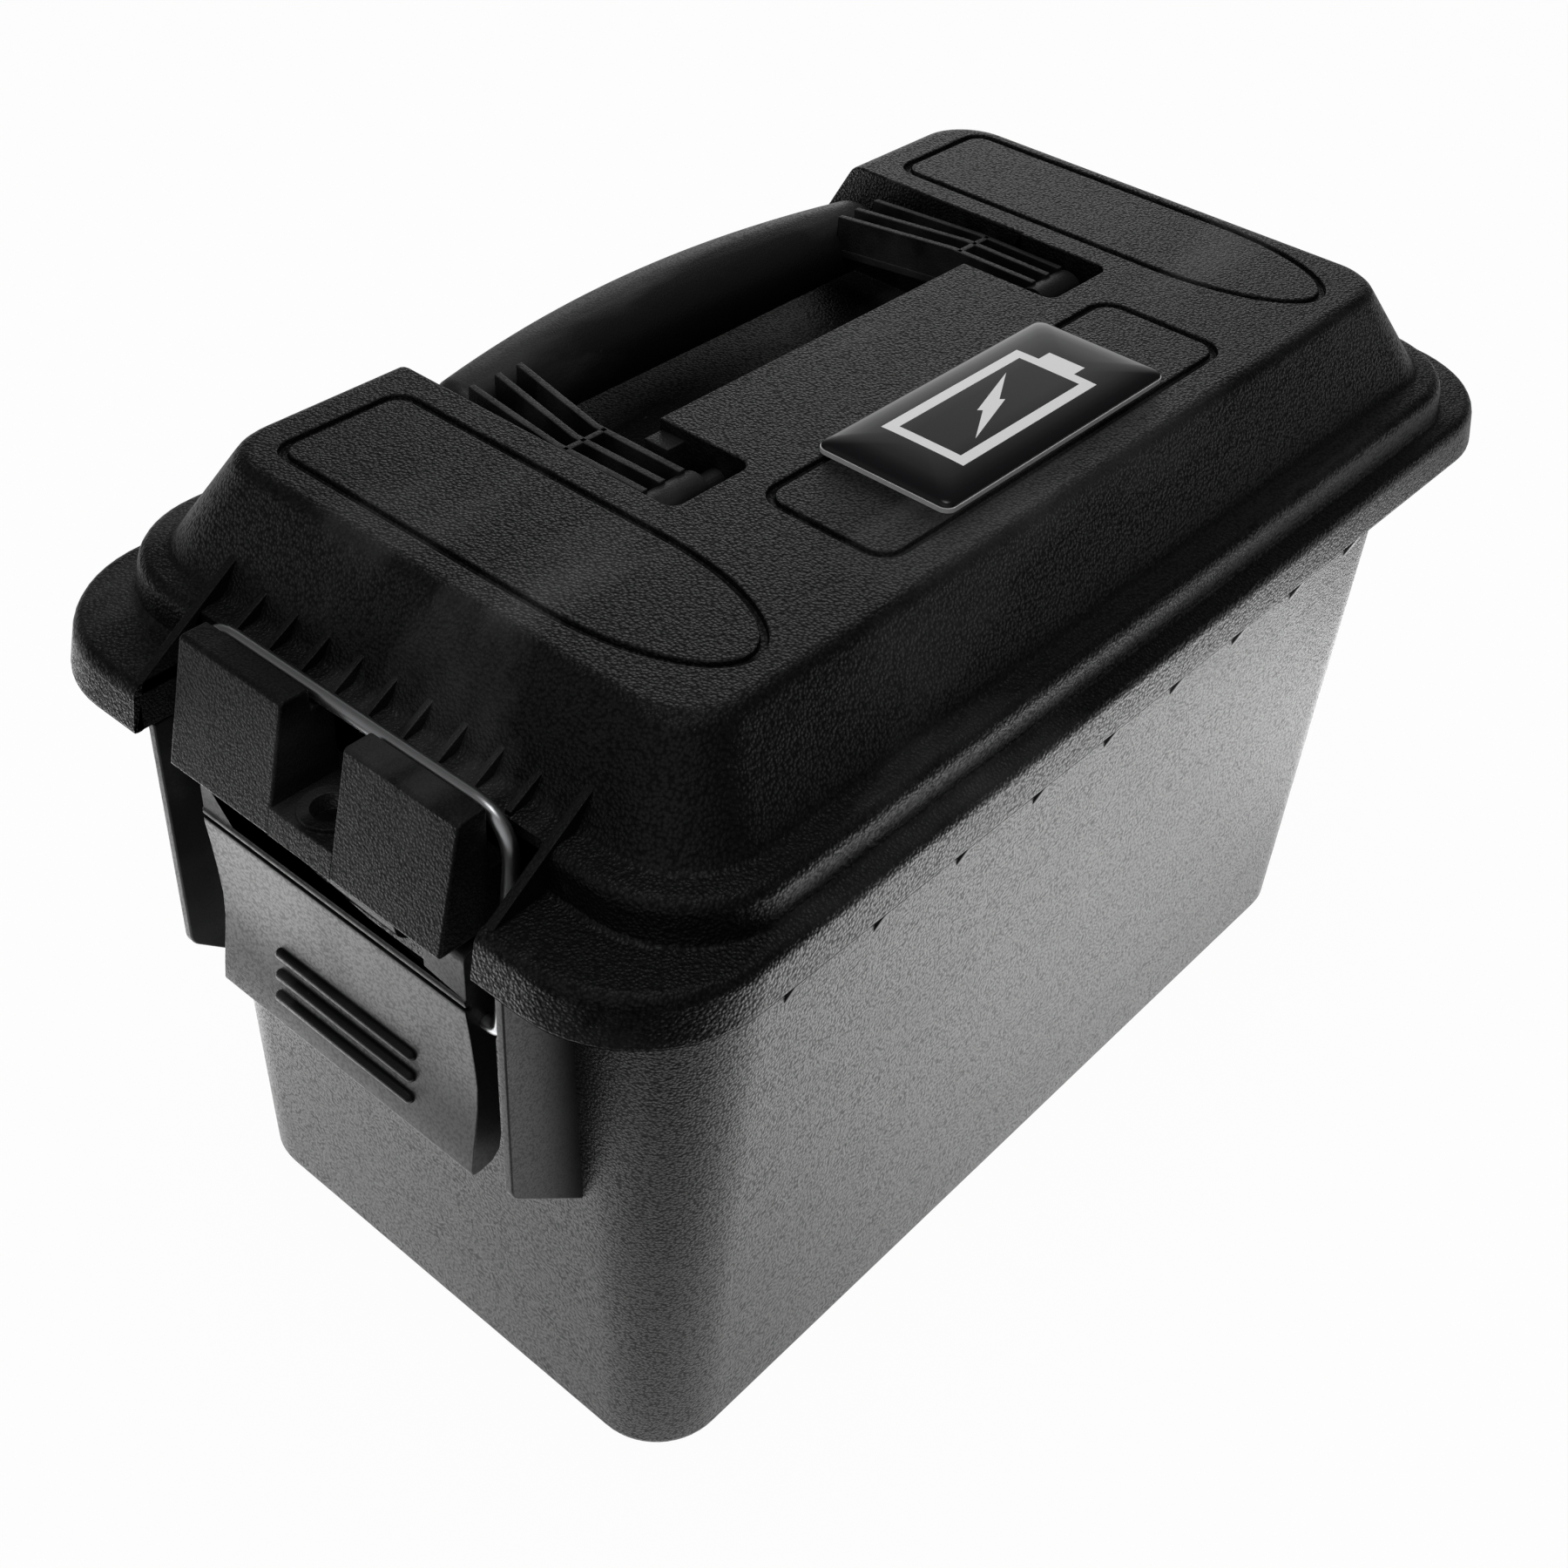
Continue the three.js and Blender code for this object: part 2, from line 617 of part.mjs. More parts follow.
function arm() {
  const web = outline([[PIVOT.x, -54.0], [PIVOT.x, -64.5], [-19, -64.3], [-46, -61.3], [-46, -47.5],
    [-19, -53.2]]);
  const floor = prism('Z', web, 166.6, 168.4);
  const ribs = [
    armRib(-54.1, -54.1, -48.3, 3.0),
    armRib(-59.2, -59.4, -53.9, 3.0),
    armRib(-63.7, -63.9, -60.6, 3.0),
  ];
  const cross = outline([[-17.6, -64.4], [-16.2, -64.4], [-16.2, -53.4], [-17.6, -53.4]]);
  const crossRib = prism('Z', cross, 166.6, 176.0);
  const { x, z, r } = PIVOT;
  const boss = rod('Y', z, x, r, -64.6, -52.0, 24);
  return union(floor, ...ribs, crossRib, boss);
}

function makeHandle() {
  const front = arm();
  const arms = front.add(mirrored(front, false)).translate([0, TOP_Y, 0]);
  const bore = rod('Y', PIVOT.z, PIVOT.x, PIVOT.holeR, -80, 80);
  return union(grip(), arms).subtract(bore);
}
addPiece('handle', makeHandle(), 0x1d1d1e, 0.45);

for (const [name, s] of [['handle_pin_front', -1], ['handle_pin_rear', 1]]) {
  const a = TOP_Y + s * (SLOT.inner - 2.4);
  const b = TOP_Y + s * (SLOT.outer + 2.2);
  const pin = rod('Y', PIVOT.z, PIVOT.x, PIVOT.pinR, Math.min(a, b), Math.max(a, b));
  addPiece(name, pin, 0x222223, 0.5);
}

for (const [name, s] of [['hinge_pin_left', -1], ['hinge_pin_right', 1]]) {
  const [a, b] = [s * 18.7, s * 49.3];
  const pin = rod('X', HINGE.y, HINGE.z, PIN_R, Math.min(a, b), Math.max(a, b));
  addPiece(name, pin, 0xa8a8aa, 0.35, 1);
}

// ---------------------------------------------------------------- badge
// Thin printed plate with a pale border, under a clear domed cover of cast resin.
const BADGE = { hx: 15.4, hy: 34.6, cx: 33.0, cy: TOP_Y };
const badgeZ = TOP_Z + GAP;
const label = loft([
  ring({ ...BADGE, r: 2.2, z: badgeZ }, 4),
  ring({ ...BADGE, r: 2.2, z: badgeZ + 0.5 }, 4),
]);
addPiece('badge_label', label, 0xe8e8e8, 0.5);

function badgeDome() {
  const low = badgeZ + 0.8;
  const layers = [[0.15, 0], [0.15, 0.35], [0.6, 0.9], [1.6, 1.35], [3.6, 1.7], [7.0, 1.9]];
  return loft(layers.map(([inset, rise]) => ring({
    hx: BADGE.hx - inset,
    hy: BADGE.hy - inset,
    cx: BADGE.cx,
    cy: BADGE.cy,
    r: 2.2 + inset * 0.4,
    z: low + rise,
  }, 4)));
}
addPiece('badge_dome', badgeDome(), 0x101012, 0.08);

export default group;
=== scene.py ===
import math

import bmesh
import bpy
from mathutils import Matrix, Vector


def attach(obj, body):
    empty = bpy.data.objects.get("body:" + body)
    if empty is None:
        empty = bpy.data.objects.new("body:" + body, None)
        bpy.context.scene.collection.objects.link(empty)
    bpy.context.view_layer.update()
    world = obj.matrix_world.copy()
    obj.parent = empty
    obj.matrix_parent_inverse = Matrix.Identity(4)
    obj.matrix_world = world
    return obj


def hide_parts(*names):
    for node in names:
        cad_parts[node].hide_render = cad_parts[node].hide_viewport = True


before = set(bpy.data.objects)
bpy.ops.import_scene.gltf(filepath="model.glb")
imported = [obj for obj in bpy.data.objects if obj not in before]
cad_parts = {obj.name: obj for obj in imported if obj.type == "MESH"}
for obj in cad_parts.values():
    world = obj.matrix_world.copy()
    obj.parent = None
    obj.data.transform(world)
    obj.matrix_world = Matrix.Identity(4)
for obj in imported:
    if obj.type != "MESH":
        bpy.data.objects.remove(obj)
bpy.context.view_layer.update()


# ============================================================== camera
# A short portrait lens half a metre away, above the latch end and to its right.
# The small shift frames the case a little low and left of the lens axis.
CAMERA_PLACE = (0.22416, -0.28962, 0.37681)
CAMERA_RIGHT = Vector((0.7582, 0.6497, 0.0547)).normalized()
CAMERA_AHEAD = Vector((-0.4888, 0.6219, -0.6118)).normalized()

camera_data = bpy.data.cameras.new("camera")
camera_data.lens = 48.22
camera_data.sensor_width = 36.0
camera_data.shift_x = -0.0224
camera_data.shift_y = -0.0564
camera_data.clip_start = 0.01
camera = bpy.data.objects.new("camera", camera_data)
bpy.context.scene.collection.objects.link(camera)
camera_up = CAMERA_RIGHT.cross(CAMERA_AHEAD).normalized()
camera_turn = Matrix((CAMERA_RIGHT, camera_up, -CAMERA_AHEAD)).transposed()
camera.matrix_world = Matrix.Translation(CAMERA_PLACE) @ camera_turn.to_4x4()
bpy.context.scene.camera = camera
bpy.context.scene.view_settings.view_transform = "Standard"


# ============================================================== studio
# A white sweep that looks evenly pale but glows mostly behind and beside the case, and less
# close to its foot, under a dark ceiling with a soft lamp overhead, a bright patch low at
# the back and a faint one behind the lens: a backlit product table.
FLOOR_REACH = 2.4
FLOOR_GLOW = 7.6
PALE = 0.97
TOWARDS_LENS = (0.612, -0.791, 0.0)
# how far towards the lens the floor still glows fully, and where its glow has gone
GLOW_FULL = 0.0
GLOW_GONE = 0.27
# how far from the middle the glow starts to fall, and where it is down to its far share
NEAR_ENDS = 0.16
FAR_STARTS = 0.36
FAR_SHARE = 0.09
CASE_FOOT = (0.064, 0.119)
FOOT_SHADE = 0.28
FOOT_SHADE_REACH = 0.16
SOFT_PATCHES = (
    # direction, sharpness and glow: low at the back, behind the lens, overhead
    ((-0.60, 0.78, 0.16), 20.0, 1.5),
    ((0.2, -0.9, 0.3), 2.0, 0.28),
    ((0.0, 0.0, 1.0), 60.0, 3.0),
)
LAMP_HEIGHT = 1.3
LAMP_SIZE = 1.2
LAMP_WATTS = 8.5
CEILING_GLOW = 0.05


def in_scene(obj):
    bpy.context.scene.collection.objects.link(obj)
    return obj


def new_material(name):
    """A material with nodes, with its tree and its Principled shader."""
    material = bpy.data.materials.new(name)
    material.use_nodes = True
    tree = material.node_tree
    return material, tree, tree.nodes["Principled BSDF"]


def math_node(tree, operation, *values):
    """A Math node; each value is a number or the output that feeds it."""
    node = tree.nodes.new("ShaderNodeMath")
    node.operation = operation
    for slot, value in enumerate(values):
        if isinstance(value, (int, float)):
            node.inputs[slot].default_value = value
        else:
            tree.links.new(value, node.inputs[slot])
    return node.outputs[0]


def vector_node(tree, operation, first, second):
    """A Vector Math node fed by an output, with a fixed second vector."""
    node = tree.nodes.new("ShaderNodeVectorMath")
    node.operation = operation
    tree.links.new(first, node.inputs[0])
    node.inputs[1].default_value = second
    return node.outputs["Value" if operation in ("DOT_PRODUCT", "LENGTH") else "Vector"]


def ramp_node(tree, value, start, stop, smooth=False):
    """0 at start and 1 at stop, clamped."""
    node = tree.nodes.new("ShaderNodeMapRange")
    node.interpolation_type = "SMOOTHSTEP" if smooth else "LINEAR"
    node.inputs["From Min"].default_value = start
    node.inputs["From Max"].default_value = stop
    tree.links.new(value, node.inputs["Value"])
    return node.outputs["Result"]


def pale_to_lens(tree, glow):
    """The pale tone where the lens looks straight at it, the glow for all other light."""
    straight = tree.nodes.new("ShaderNodeLightPath").outputs["Is Camera Ray"]
    mix = tree.nodes.new("ShaderNodeMix")
    mix.inputs["B"].default_value = PALE
    tree.links.new(straight, mix.inputs["Factor"])
    tree.links.new(glow, mix.inputs["A"])
    return mix.outputs["Result"]


floor_bm = bmesh.new()
bmesh.ops.create_circle(floor_bm, cap_ends=True, segments=96, radius=FLOOR_REACH)
bmesh.ops.translate(floor_bm, verts=floor_bm.verts, vec=(0, 0, -0.0002))
floor_mesh = bpy.data.meshes.new("studio_floor")
floor_bm.to_mesh(floor_mesh)
floor_bm.free()
studio_floor = in_scene(bpy.data.objects.new("studio_floor", floor_mesh))
floor_white, floor_tree, floor_shader = new_material("sweep_white")
floor_place = floor_tree.nodes.new("ShaderNodeTexCoord").outputs["Object"]
lens_side = vector_node(floor_tree, "DOT_PRODUCT", floor_place, TOWARDS_LENS)
reach = vector_node(floor_tree, "LENGTH", floor_place, (0, 0, 0))
behind = ramp_node(floor_tree, lens_side, GLOW_GONE, GLOW_FULL, smooth=True)
near = ramp_node(floor_tree, reach, FAR_STARTS, NEAR_ENDS, smooth=True)
near = math_node(floor_tree, "MULTIPLY_ADD", near, 1 - FAR_SHARE, FAR_SHARE)
floor_axes = floor_tree.nodes.new("ShaderNodeSeparateXYZ")
floor_tree.links.new(floor_place, floor_axes.inputs[0])
beyond = []
for axis, foot in zip("XY", CASE_FOOT):
    across = math_node(floor_tree, "ABSOLUTE", floor_axes.outputs[axis])
    past_foot = math_node(floor_tree, "SUBTRACT", across, foot)
    beyond.append(math_node(floor_tree, "MAXIMUM", past_foot, 0.0))
squares = [math_node(floor_tree, "MULTIPLY", away, away) for away in beyond]
from_foot = math_node(floor_tree, "SQRT", math_node(floor_tree, "ADD", *squares))
clear_of_foot = ramp_node(floor_tree, from_foot, 0.0, FOOT_SHADE_REACH, smooth=True)
unshaded = math_node(floor_tree, "MULTIPLY_ADD", clear_of_foot, 1 - FOOT_SHADE, FOOT_SHADE)
lit_share = math_node(floor_tree, "MULTIPLY", behind, near)
floor_glow = math_node(floor_tree, "MULTIPLY", lit_share, FLOOR_GLOW)
floor_glow = math_node(floor_tree, "MULTIPLY", floor_glow, unshaded)
floor_shader.inputs["Base Color"].default_value = (0.02, 0.02, 0.02, 1)
floor_shader.inputs["Roughness"].default_value = 1.0
floor_shader.inputs["Specular IOR Level"].default_value = 0.0
floor_shader.inputs["Emission Color"].default_value = (1, 1, 1, 1)
floor_light = pale_to_lens(floor_tree, floor_glow)
floor_tree.links.new(floor_light, floor_shader.inputs["Emission Strength"])
studio_floor.data.materials.append(floor_white)

world = bpy.data.worlds.new("dark_ceiling")
bpy.context.scene.world = world
world.use_nodes = True
world_tree = world.node_tree
sky = world_tree.nodes.new("ShaderNodeTexCoord").outputs["Generated"]
world_glow = CEILING_GLOW
for towards, sharpness, glow in SOFT_PATCHES:
    facing = vector_node(world_tree, "DOT_PRODUCT", sky, Vector(towards).normalized())
    ahead = math_node(world_tree, "MAXIMUM", facing, 0.0)
    lobe = math_node(world_tree, "POWER", ahead, sharpness)
    world_glow = math_node(world_tree, "MULTIPLY_ADD", lobe, glow, world_glow)
background = world_tree.nodes["Background"]
world_tree.links.new(pale_to_lens(world_tree, world_glow), background.inputs["Strength"])
background.inputs["Color"].default_value = (1, 1, 1, 1)

# The overhead lamp lights matt surfaces only, so that nothing glossy mirrors it.
lamp_data = bpy.data.lights.new("lamp_overhead", "AREA")
lamp_data.size = LAMP_SIZE
lamp_data.energy = LAMP_WATTS
lamp_overhead = in_scene(bpy.data.objects.new("lamp_overhead", lamp_data))
lamp_overhead.location = (0, 0, LAMP_HEIGHT)
lamp_overhead.visible_glossy = False
lamp_overhead.visible_camera = False


# ============================================================== tub
# The lower box: injection-moulded black polypropylene with a fine leather grain,
# drafted towards its base, with a flange, gussets, guard fins and hinge knuckles.
MM = 0.001
CORNER_STEPS = 14
TUB_OUTSIDE = (
    # half width, half length, corner radius, height
    (61.8, 117.1, 13.0, 0.0),
    (62.9, 118.2, 14.0, 0.25),
    (63.8, 119.1, 14.9, 1.0),
    (64.3, 119.6, 15.4, 2.4),
    (67.1, 121.4, 19.0, 70.0),
    (70.0, 123.3, 22.5, 140.0),
    (70.0, 123.3, 22.5, 145.0),
    (69.6, 122.9, 22.1, 145.5),
)
TUB_INSIDE = (
    (67.6, 120.9, 20.1, 145.45),
    (67.2, 120.5, 19.7, 145.1),
    (67.2, 120.5, 19.7, 140.0),
    (61.5, 116.8, 12.6, 5.0),
    (60.9, 116.2, 12.0, 3.6),
    (59.5, 114.8, 10.6, 3.0),
)
TUB_BLACK = (0.0050, 0.0050, 0.0052, 1)
DUST_GREY = (0.16, 0.16, 0.16, 1)
DEEPEST_RELIEF = 0.16


def level_ring(bm, half_x, half_y, radius, height, centre=(0, 0), steps=CORNER_STEPS):
    """A level plate with round corners, in millimetres: a quad whose corners are bevelled."""
    known = set(bm.faces)
    cx, cy = centre
    sides = ((-1, -1), (1, -1), (1, 1), (-1, 1))
    corners = []
    for sx, sy in sides:
        place = Vector((cx + sx * half_x, cy + sy * half_y, height)) * MM
        corners.append(bm.verts.new(place))
    bm.faces.new(corners)
    bmesh.ops.bevel(
        bm,
        geom=corners,
        offset=radius * MM,
        segments=steps,
        profile=0.5,
        affect="VERTICES",
        clamp_overlap=False,
        material=-1,
    )
    return next(face for face in bm.faces if face not in known)


def skin(bm, rings):
    """Bridge a stack of rings into one closed moulding; only its two ends stay capped."""
    for lower, upper in zip(rings, rings[1:]):
        bmesh.ops.bridge_loops(bm, edges=[*lower.edges, *upper.edges])
    bmesh.ops.delete(bm, geom=rings[1:-1], context="FACES_ONLY")
    bmesh.ops.recalc_face_normals(bm, faces=bm.faces)


def moulding(specs, centre=(0, 0), steps=CORNER_STEPS):
    bm = bmesh.new()
    skin(bm, [level_ring(bm, *spec, centre=centre, steps=steps) for spec in specs])
    return bm


def as_object(bm, name):
    mesh = bpy.data.meshes.new(name)
    bm.to_mesh(mesh)
    bm.free()
    return in_scene(bpy.data.objects.new(name, mesh))


def slab(bm, outline, along, start, stop):
    """Extrude an outline in millimetres: (y, z) along X, (x, z) along Y or (x, y) along Z."""
    places = {
        "X": lambda a, b: (start, a, b),
        "Y": lambda a, b: (a, start, b),
        "Z": lambda a, b: (a, b, start),
    }
    push = {"X": (1, 0, 0), "Y": (0, 1, 0), "Z": (0, 0, 1)}
    known = len(bm.faces)
    verts = [bm.verts.new(Vector(places[along](a, b)) * MM) for a, b in outline]
    face = bm.faces.new(verts)
    made = bmesh.ops.extrude_face_region(bm, geom=[face])["geom"]
    moved = [item for item in made if isinstance(item, bmesh.types.BMVert)]
    bmesh.ops.translate(bm, verts=moved, vec=Vector(push[along]) * (stop - start) * MM)
    # extrusion leaves the first face in place, so the prism is already closed
    bmesh.ops.recalc_face_normals(bm, faces=list(bm.faces)[known:])
    return [*verts, *moved]


def arc(middle, radius, start, stop, steps):
    """Points of an outline on an arc between two angles in degrees."""
    points = []
    for k in range(steps + 1):
        sweep = math.radians(start + (stop - start) * k / steps)
        points.append((middle[0] + radius * math.cos(sweep), middle[1] + radius * math.sin(sweep)))
    return points


def block(bm, x0, x1, y0, y1, z0, z1):
    return slab(bm, ((x0, y0), (x1, y0), (x1, y1), (x0, y1)), "Z", z0, z1)


def rod(bm, along, a, b, radius, start, stop, sides=32):
    """A round bar along an axis, through the point (a, b) of the plane across it."""
    turn = 2 * math.pi / sides
    outline = []
    for k in range(sides):
        outline.append((a + radius * math.cos(k * turn), b + radius * math.sin(k * turn)))
    return slab(bm, outline, along, start, stop)


def both_sides(bm, across=(1, 0, 0)):
    """Add the mirror image of everything in the mesh, across a plane through the origin."""
    geom = [*bm.verts, *bm.edges, *bm.faces]
    copies = bmesh.ops.duplicate(bm, geom=geom)["geom"]
    verts = [item for item in copies if isinstance(item, bmesh.types.BMVert)]
    faces = [item for item in copies if isinstance(item, bmesh.types.BMFace)]
    flip = [-1 if side else 1 for side in across]
    bmesh.ops.scale(bm, verts=verts, vec=flip)
    bmesh.ops.reverse_faces(bm, faces=faces)


def carve(piece, cutters, operation="DIFFERENCE"):
    """Cut shapes out of a piece, or add them to it, and keep the result as its mesh."""
    for cutter in cutters:
        tool = piece.modifiers.new("carve", "BOOLEAN")
        tool.solver = "EXACT"
        tool.operation = operation
        tool.object = cutter
    graph = bpy.context.evaluated_depsgraph_get()
    made = bpy.data.meshes.new_from_object(piece.evaluated_get(graph))
    piece.modifiers.clear()
    piece.data = made
    made.name = piece.name
    for cutter in cutters:
        bpy.data.objects.remove(cutter)


def soften(piece, width, steps=2, sharper_than=38, spared=None):
    """Round a piece's sharp edges by a few tenths of a millimetre and smooth its shading.

    Edges that the spared function picks out stay sharp."""
    bm = bmesh.new()
    bm.from_mesh(piece.data)
    bmesh.ops.remove_doubles(bm, verts=bm.verts, dist=0.02 * MM)
    bmesh.ops.dissolve_limit(
        bm,
        angle_limit=math.radians(0.4),
        verts=bm.verts,
        edges=bm.edges,
        use_dissolve_boundaries=False,
    )
    limit = math.radians(sharper_than)
    sharp = [edge for edge in bm.edges if edge.is_manifold and edge.calc_face_angle() > limit]
    if spared:
        sharp = [edge for edge in sharp if not spared(edge)]
    bmesh.ops.bevel(
        bm,
        geom=sharp,
        offset=width * MM,
        segments=steps,
        profile=0.5,
        affect="EDGES",
        clamp_overlap=False,
        material=-1,
    )
    for face in bm.faces:
        face.smooth = True
    for edge in bm.edges:
        edge.smooth = edge.is_manifold and edge.calc_face_angle() < math.radians(35)
    bm.to_mesh(piece.data)
    bm.free()
    weighted = piece.modifiers.new("flat_faces_stay_flat", "WEIGHTED_NORMAL")
    weighted.keep_sharp = True


def smooth_faces(piece):
    for polygon in piece.data.polygons:
        polygon.use_smooth = True


def object_place(tree):
    return tree.nodes.new("ShaderNodeTexCoord").outputs["Object"]


def noise_node(tree, place, scale, detail=2.0):
    """The outputs of a Noise Texture node: its value and its colour."""
    node = tree.nodes.new("ShaderNodeTexNoise")
    node.inputs["Scale"].default_value = scale
    node.inputs["Detail"].default_value = detail
    tree.links.new(place, node.inputs["Vector"])
    return node.outputs


def base_colour(tree, shader, share, first, second):
    """Blend the base colour: the first colour where the share is 0, the second where it is 1."""
    mix = tree.nodes.new("ShaderNodeMix")
    mix.data_type = "RGBA"
    mix.inputs["A"].default_value = first
    mix.inputs["B"].default_value = second
    tree.links.new(share, mix.inputs["Factor"])
    tree.links.new(mix.outputs["Result"], shader.inputs["Base Color"])


def bump_from(tree, shader, height, deep):
    """Tilt the shading by a height of 0 to 1 that stands for a depth in millimetres."""
    bump = tree.nodes.new("ShaderNodeBump")
    bump.inputs["Distance"].default_value = deep * MM
    tree.links.new(height, bump.inputs["Height"])
    tree.links.new(bump.outputs["Normal"], shader.inputs["Normal"])


def group_socket(tree, name, kind, way, value=None):
    socket = tree.interface.new_socket(name=name, in_out=way, socket_type=kind)
    if value is not None:
        socket.default_value = value


def moulded_grain_group():
    """Leather-like pebbles pressed into a moulding by an etched tool."""
    tree = bpy.data.node_groups.new("moulded_grain", "ShaderNodeTree")
    group_socket(tree, "Position", "NodeSocketVector", "INPUT")
    group_socket(tree, "Pebbles per metre", "NodeSocketFloat", "INPUT", 900.0)
    group_socket(tree, "Height", "NodeSocketFloat", "OUTPUT")
    group_socket(tree, "Valley", "NodeSocketFloat", "OUTPUT")
    source = tree.nodes.new("NodeGroupInput")
    result = tree.nodes.new("NodeGroupOutput")
    scaled = tree.nodes.new("ShaderNodeVectorMath")
    scaled.operation = "SCALE"
    tree.links.new(source.outputs["Position"], scaled.inputs[0])
    tree.links.new(source.outputs["Pebbles per metre"], scaled.inputs["Scale"])
    wander = noise_node(tree, scaled.outputs[0], 0.9)["Color"]
    bent = tree.nodes.new("ShaderNodeVectorMath")
    bent.operation = "MULTIPLY_ADD"
    bent.inputs[1].default_value = (0.5, 0.5, 0.5)
    tree.links.new(wander, bent.inputs[0])
    tree.links.new(scaled.outputs[0], bent.inputs[2])
    pebbles = tree.nodes.new("ShaderNodeTexVoronoi")
    pebbles.feature = "SMOOTH_F1"
    pebbles.inputs["Scale"].default_value = 1.0
    pebbles.inputs["Smoothness"].default_value = 0.2
    tree.links.new(bent.outputs[0], pebbles.inputs["Vector"])
    from_middle = pebbles.outputs["Distance"]
    fine = noise_node(tree, scaled.outputs[0], 3.2)[0]
    dome = math_node(tree, "SUBTRACT", 1.0, from_middle)
    height = math_node(tree, "MULTIPLY_ADD", fine, 0.35, dome)
    tree.links.new(height, result.inputs["Height"])
    tree.links.new(ramp_node(tree, from_middle, 0.35, 0.75), result.inputs["Valley"])
    return tree


def shop_dust_group():
    """Fine dust specks and faint dry smears left by handling."""
    tree = bpy.data.node_groups.new("shop_dust", "ShaderNodeTree")
    group_socket(tree, "Position", "NodeSocketVector", "INPUT")
    group_socket(tree, "Specks", "NodeSocketFloat", "INPUT", 0.5)
    group_socket(tree, "Smears", "NodeSocketFloat", "INPUT", 0.5)
    group_socket(tree, "Mask", "NodeSocketFloat", "OUTPUT")
    source = tree.nodes.new("NodeGroupInput")
    result = tree.nodes.new("NodeGroupOutput")
    place = source.outputs["Position"]
    dots = tree.nodes.new("ShaderNodeTexVoronoi")
    dots.inputs["Scale"].default_value = 260.0
    tree.links.new(place, dots.inputs["Vector"])
    speck = ramp_node(tree, dots.outputs["Distance"], 0.09, 0.03)
    patch = ramp_node(tree, noise_node(tree, place, 45.0, 5.0)[0], 0.56, 0.78)
    some = math_node(tree, "MULTIPLY", speck, patch)
    specks = math_node(tree, "MULTIPLY", some, source.outputs["Specks"])
    drag = vector_node(tree, "MULTIPLY", place, (60.0, 14.0, 40.0))
    band = ramp_node(tree, noise_node(tree, drag, 1.0, 6.0)[0], 0.5, 0.8)
    smears = math_node(tree, "MULTIPLY", band, source.outputs["Smears"])
    total = math_node(tree, "ADD", specks, smears)
    tree.links.new(math_node(tree, "MINIMUM", total, 1.0), result.inputs["Mask"])
    return tree


GRAIN = moulded_grain_group()
DUST = shop_dust_group()


def grained_plastic(name, colour, roughness, pebbles, relief, dust=(0.5, 0.25), shine=0.5):
    """Black polypropylene: grain as bump, duller valleys, a trace of dust."""
    material, tree, shader = new_material(name)
    place = object_place(tree)
    grain = tree.nodes.new("ShaderNodeGroup")
    grain.node_tree = GRAIN
    grain.inputs["Pebbles per metre"].default_value = pebbles
    tree.links.new(place, grain.inputs["Position"])
    specks = tree.nodes.new("ShaderNodeGroup")
    specks.node_tree = DUST
    specks.inputs["Specks"].default_value = dust[0]
    specks.inputs["Smears"].default_value = dust[1]
    tree.links.new(place, specks.inputs["Position"])
    base_colour(tree, shader, specks.outputs["Mask"], colour, DUST_GREY)
    # little light gets into a deep valley or out of it, so deep valleys shine least
    depth = relief / DEEPEST_RELIEF
    darkest = -0.75 * shine * depth
    brightest = shine * (1 + 0.15 * depth)
    glint = math_node(tree, "MULTIPLY_ADD", grain.outputs["Valley"], darkest, brightest)
    tree.links.new(glint, shader.inputs["Specular IOR Level"])
    dull = math_node(tree, "MULTIPLY_ADD", grain.outputs["Valley"], 0.14, roughness)
    dusty = math_node(tree, "MULTIPLY_ADD", specks.outputs["Mask"], 0.25, dull)
    tree.links.new(dusty, shader.inputs["Roughness"])
    bump_from(tree, shader, grain.outputs["Height"], relief)
    return material


def redress(nodes, material):
    """Give pieces that are carried over from the frame a material of their own."""
    for node in nodes:
        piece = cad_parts[node]
        piece.data.materials.clear()
        piece.data.materials.append(material)


tub_grain = grained_plastic("tub_grained_black", TUB_BLACK, 0.36, 1900.0, 0.16, shine=0.54)
tub_smooth = grained_plastic("tub_smooth_black", TUB_BLACK, 0.40, 2400.0, 0.012, shine=0.42)

tub_shell = as_object(moulding(TUB_OUTSIDE + TUB_INSIDE), "tub_shell")
smooth_faces(tub_shell)
tub_shell.modifiers.new("flat_faces_stay_flat", "WEIGHTED_NORMAL")
tub_shell.data.materials.append(tub_grain)
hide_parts("tub")
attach(tub_shell, "tub")

# Stiffening flange under the lid's skirt, carried by nine gussets on each long side.
GUSSET_PITCH = 23.8
GUSSET_HALF = 0.9
GUSSET_SIDE = ((67.5, 118.5), (69.0, 118.5), (77.0, 138.9), (77.0, 140.4), (67.5, 140.4))

gusset_bm = bmesh.new()
for k in range(-4, 5):
    middle = k * GUSSET_PITCH
    slab(gusset_bm, GUSSET_SIDE, "Y", middle - GUSSET_HALF, middle + GUSSET_HALF)
both_sides(gusset_bm)
tub_gussets = as_object(gusset_bm, "tub_gussets")
soften(tub_gussets, 0.25)

flange_steps = ((77.3, 130.7, 25.7, 140.2), (77.6, 131.0, 26.0, 140.5), (77.6, 131.0, 26.0, 142.6))
tub_flange = as_object(moulding(flange_steps), "tub_flange")
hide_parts("tub_collar")
flange_bay = bmesh.new()
block(flange_bay, -46.2, 46.2, -150, -123.0, 130, 150)
flange_core = moulding(((69.0, 122.3, 21.5, 139.0), (69.0, 122.3, 21.5, 144.0)))
carve(tub_flange, [as_object(flange_bay, "bay"), as_object(flange_core, "core")])
soften(tub_flange, 0.2)

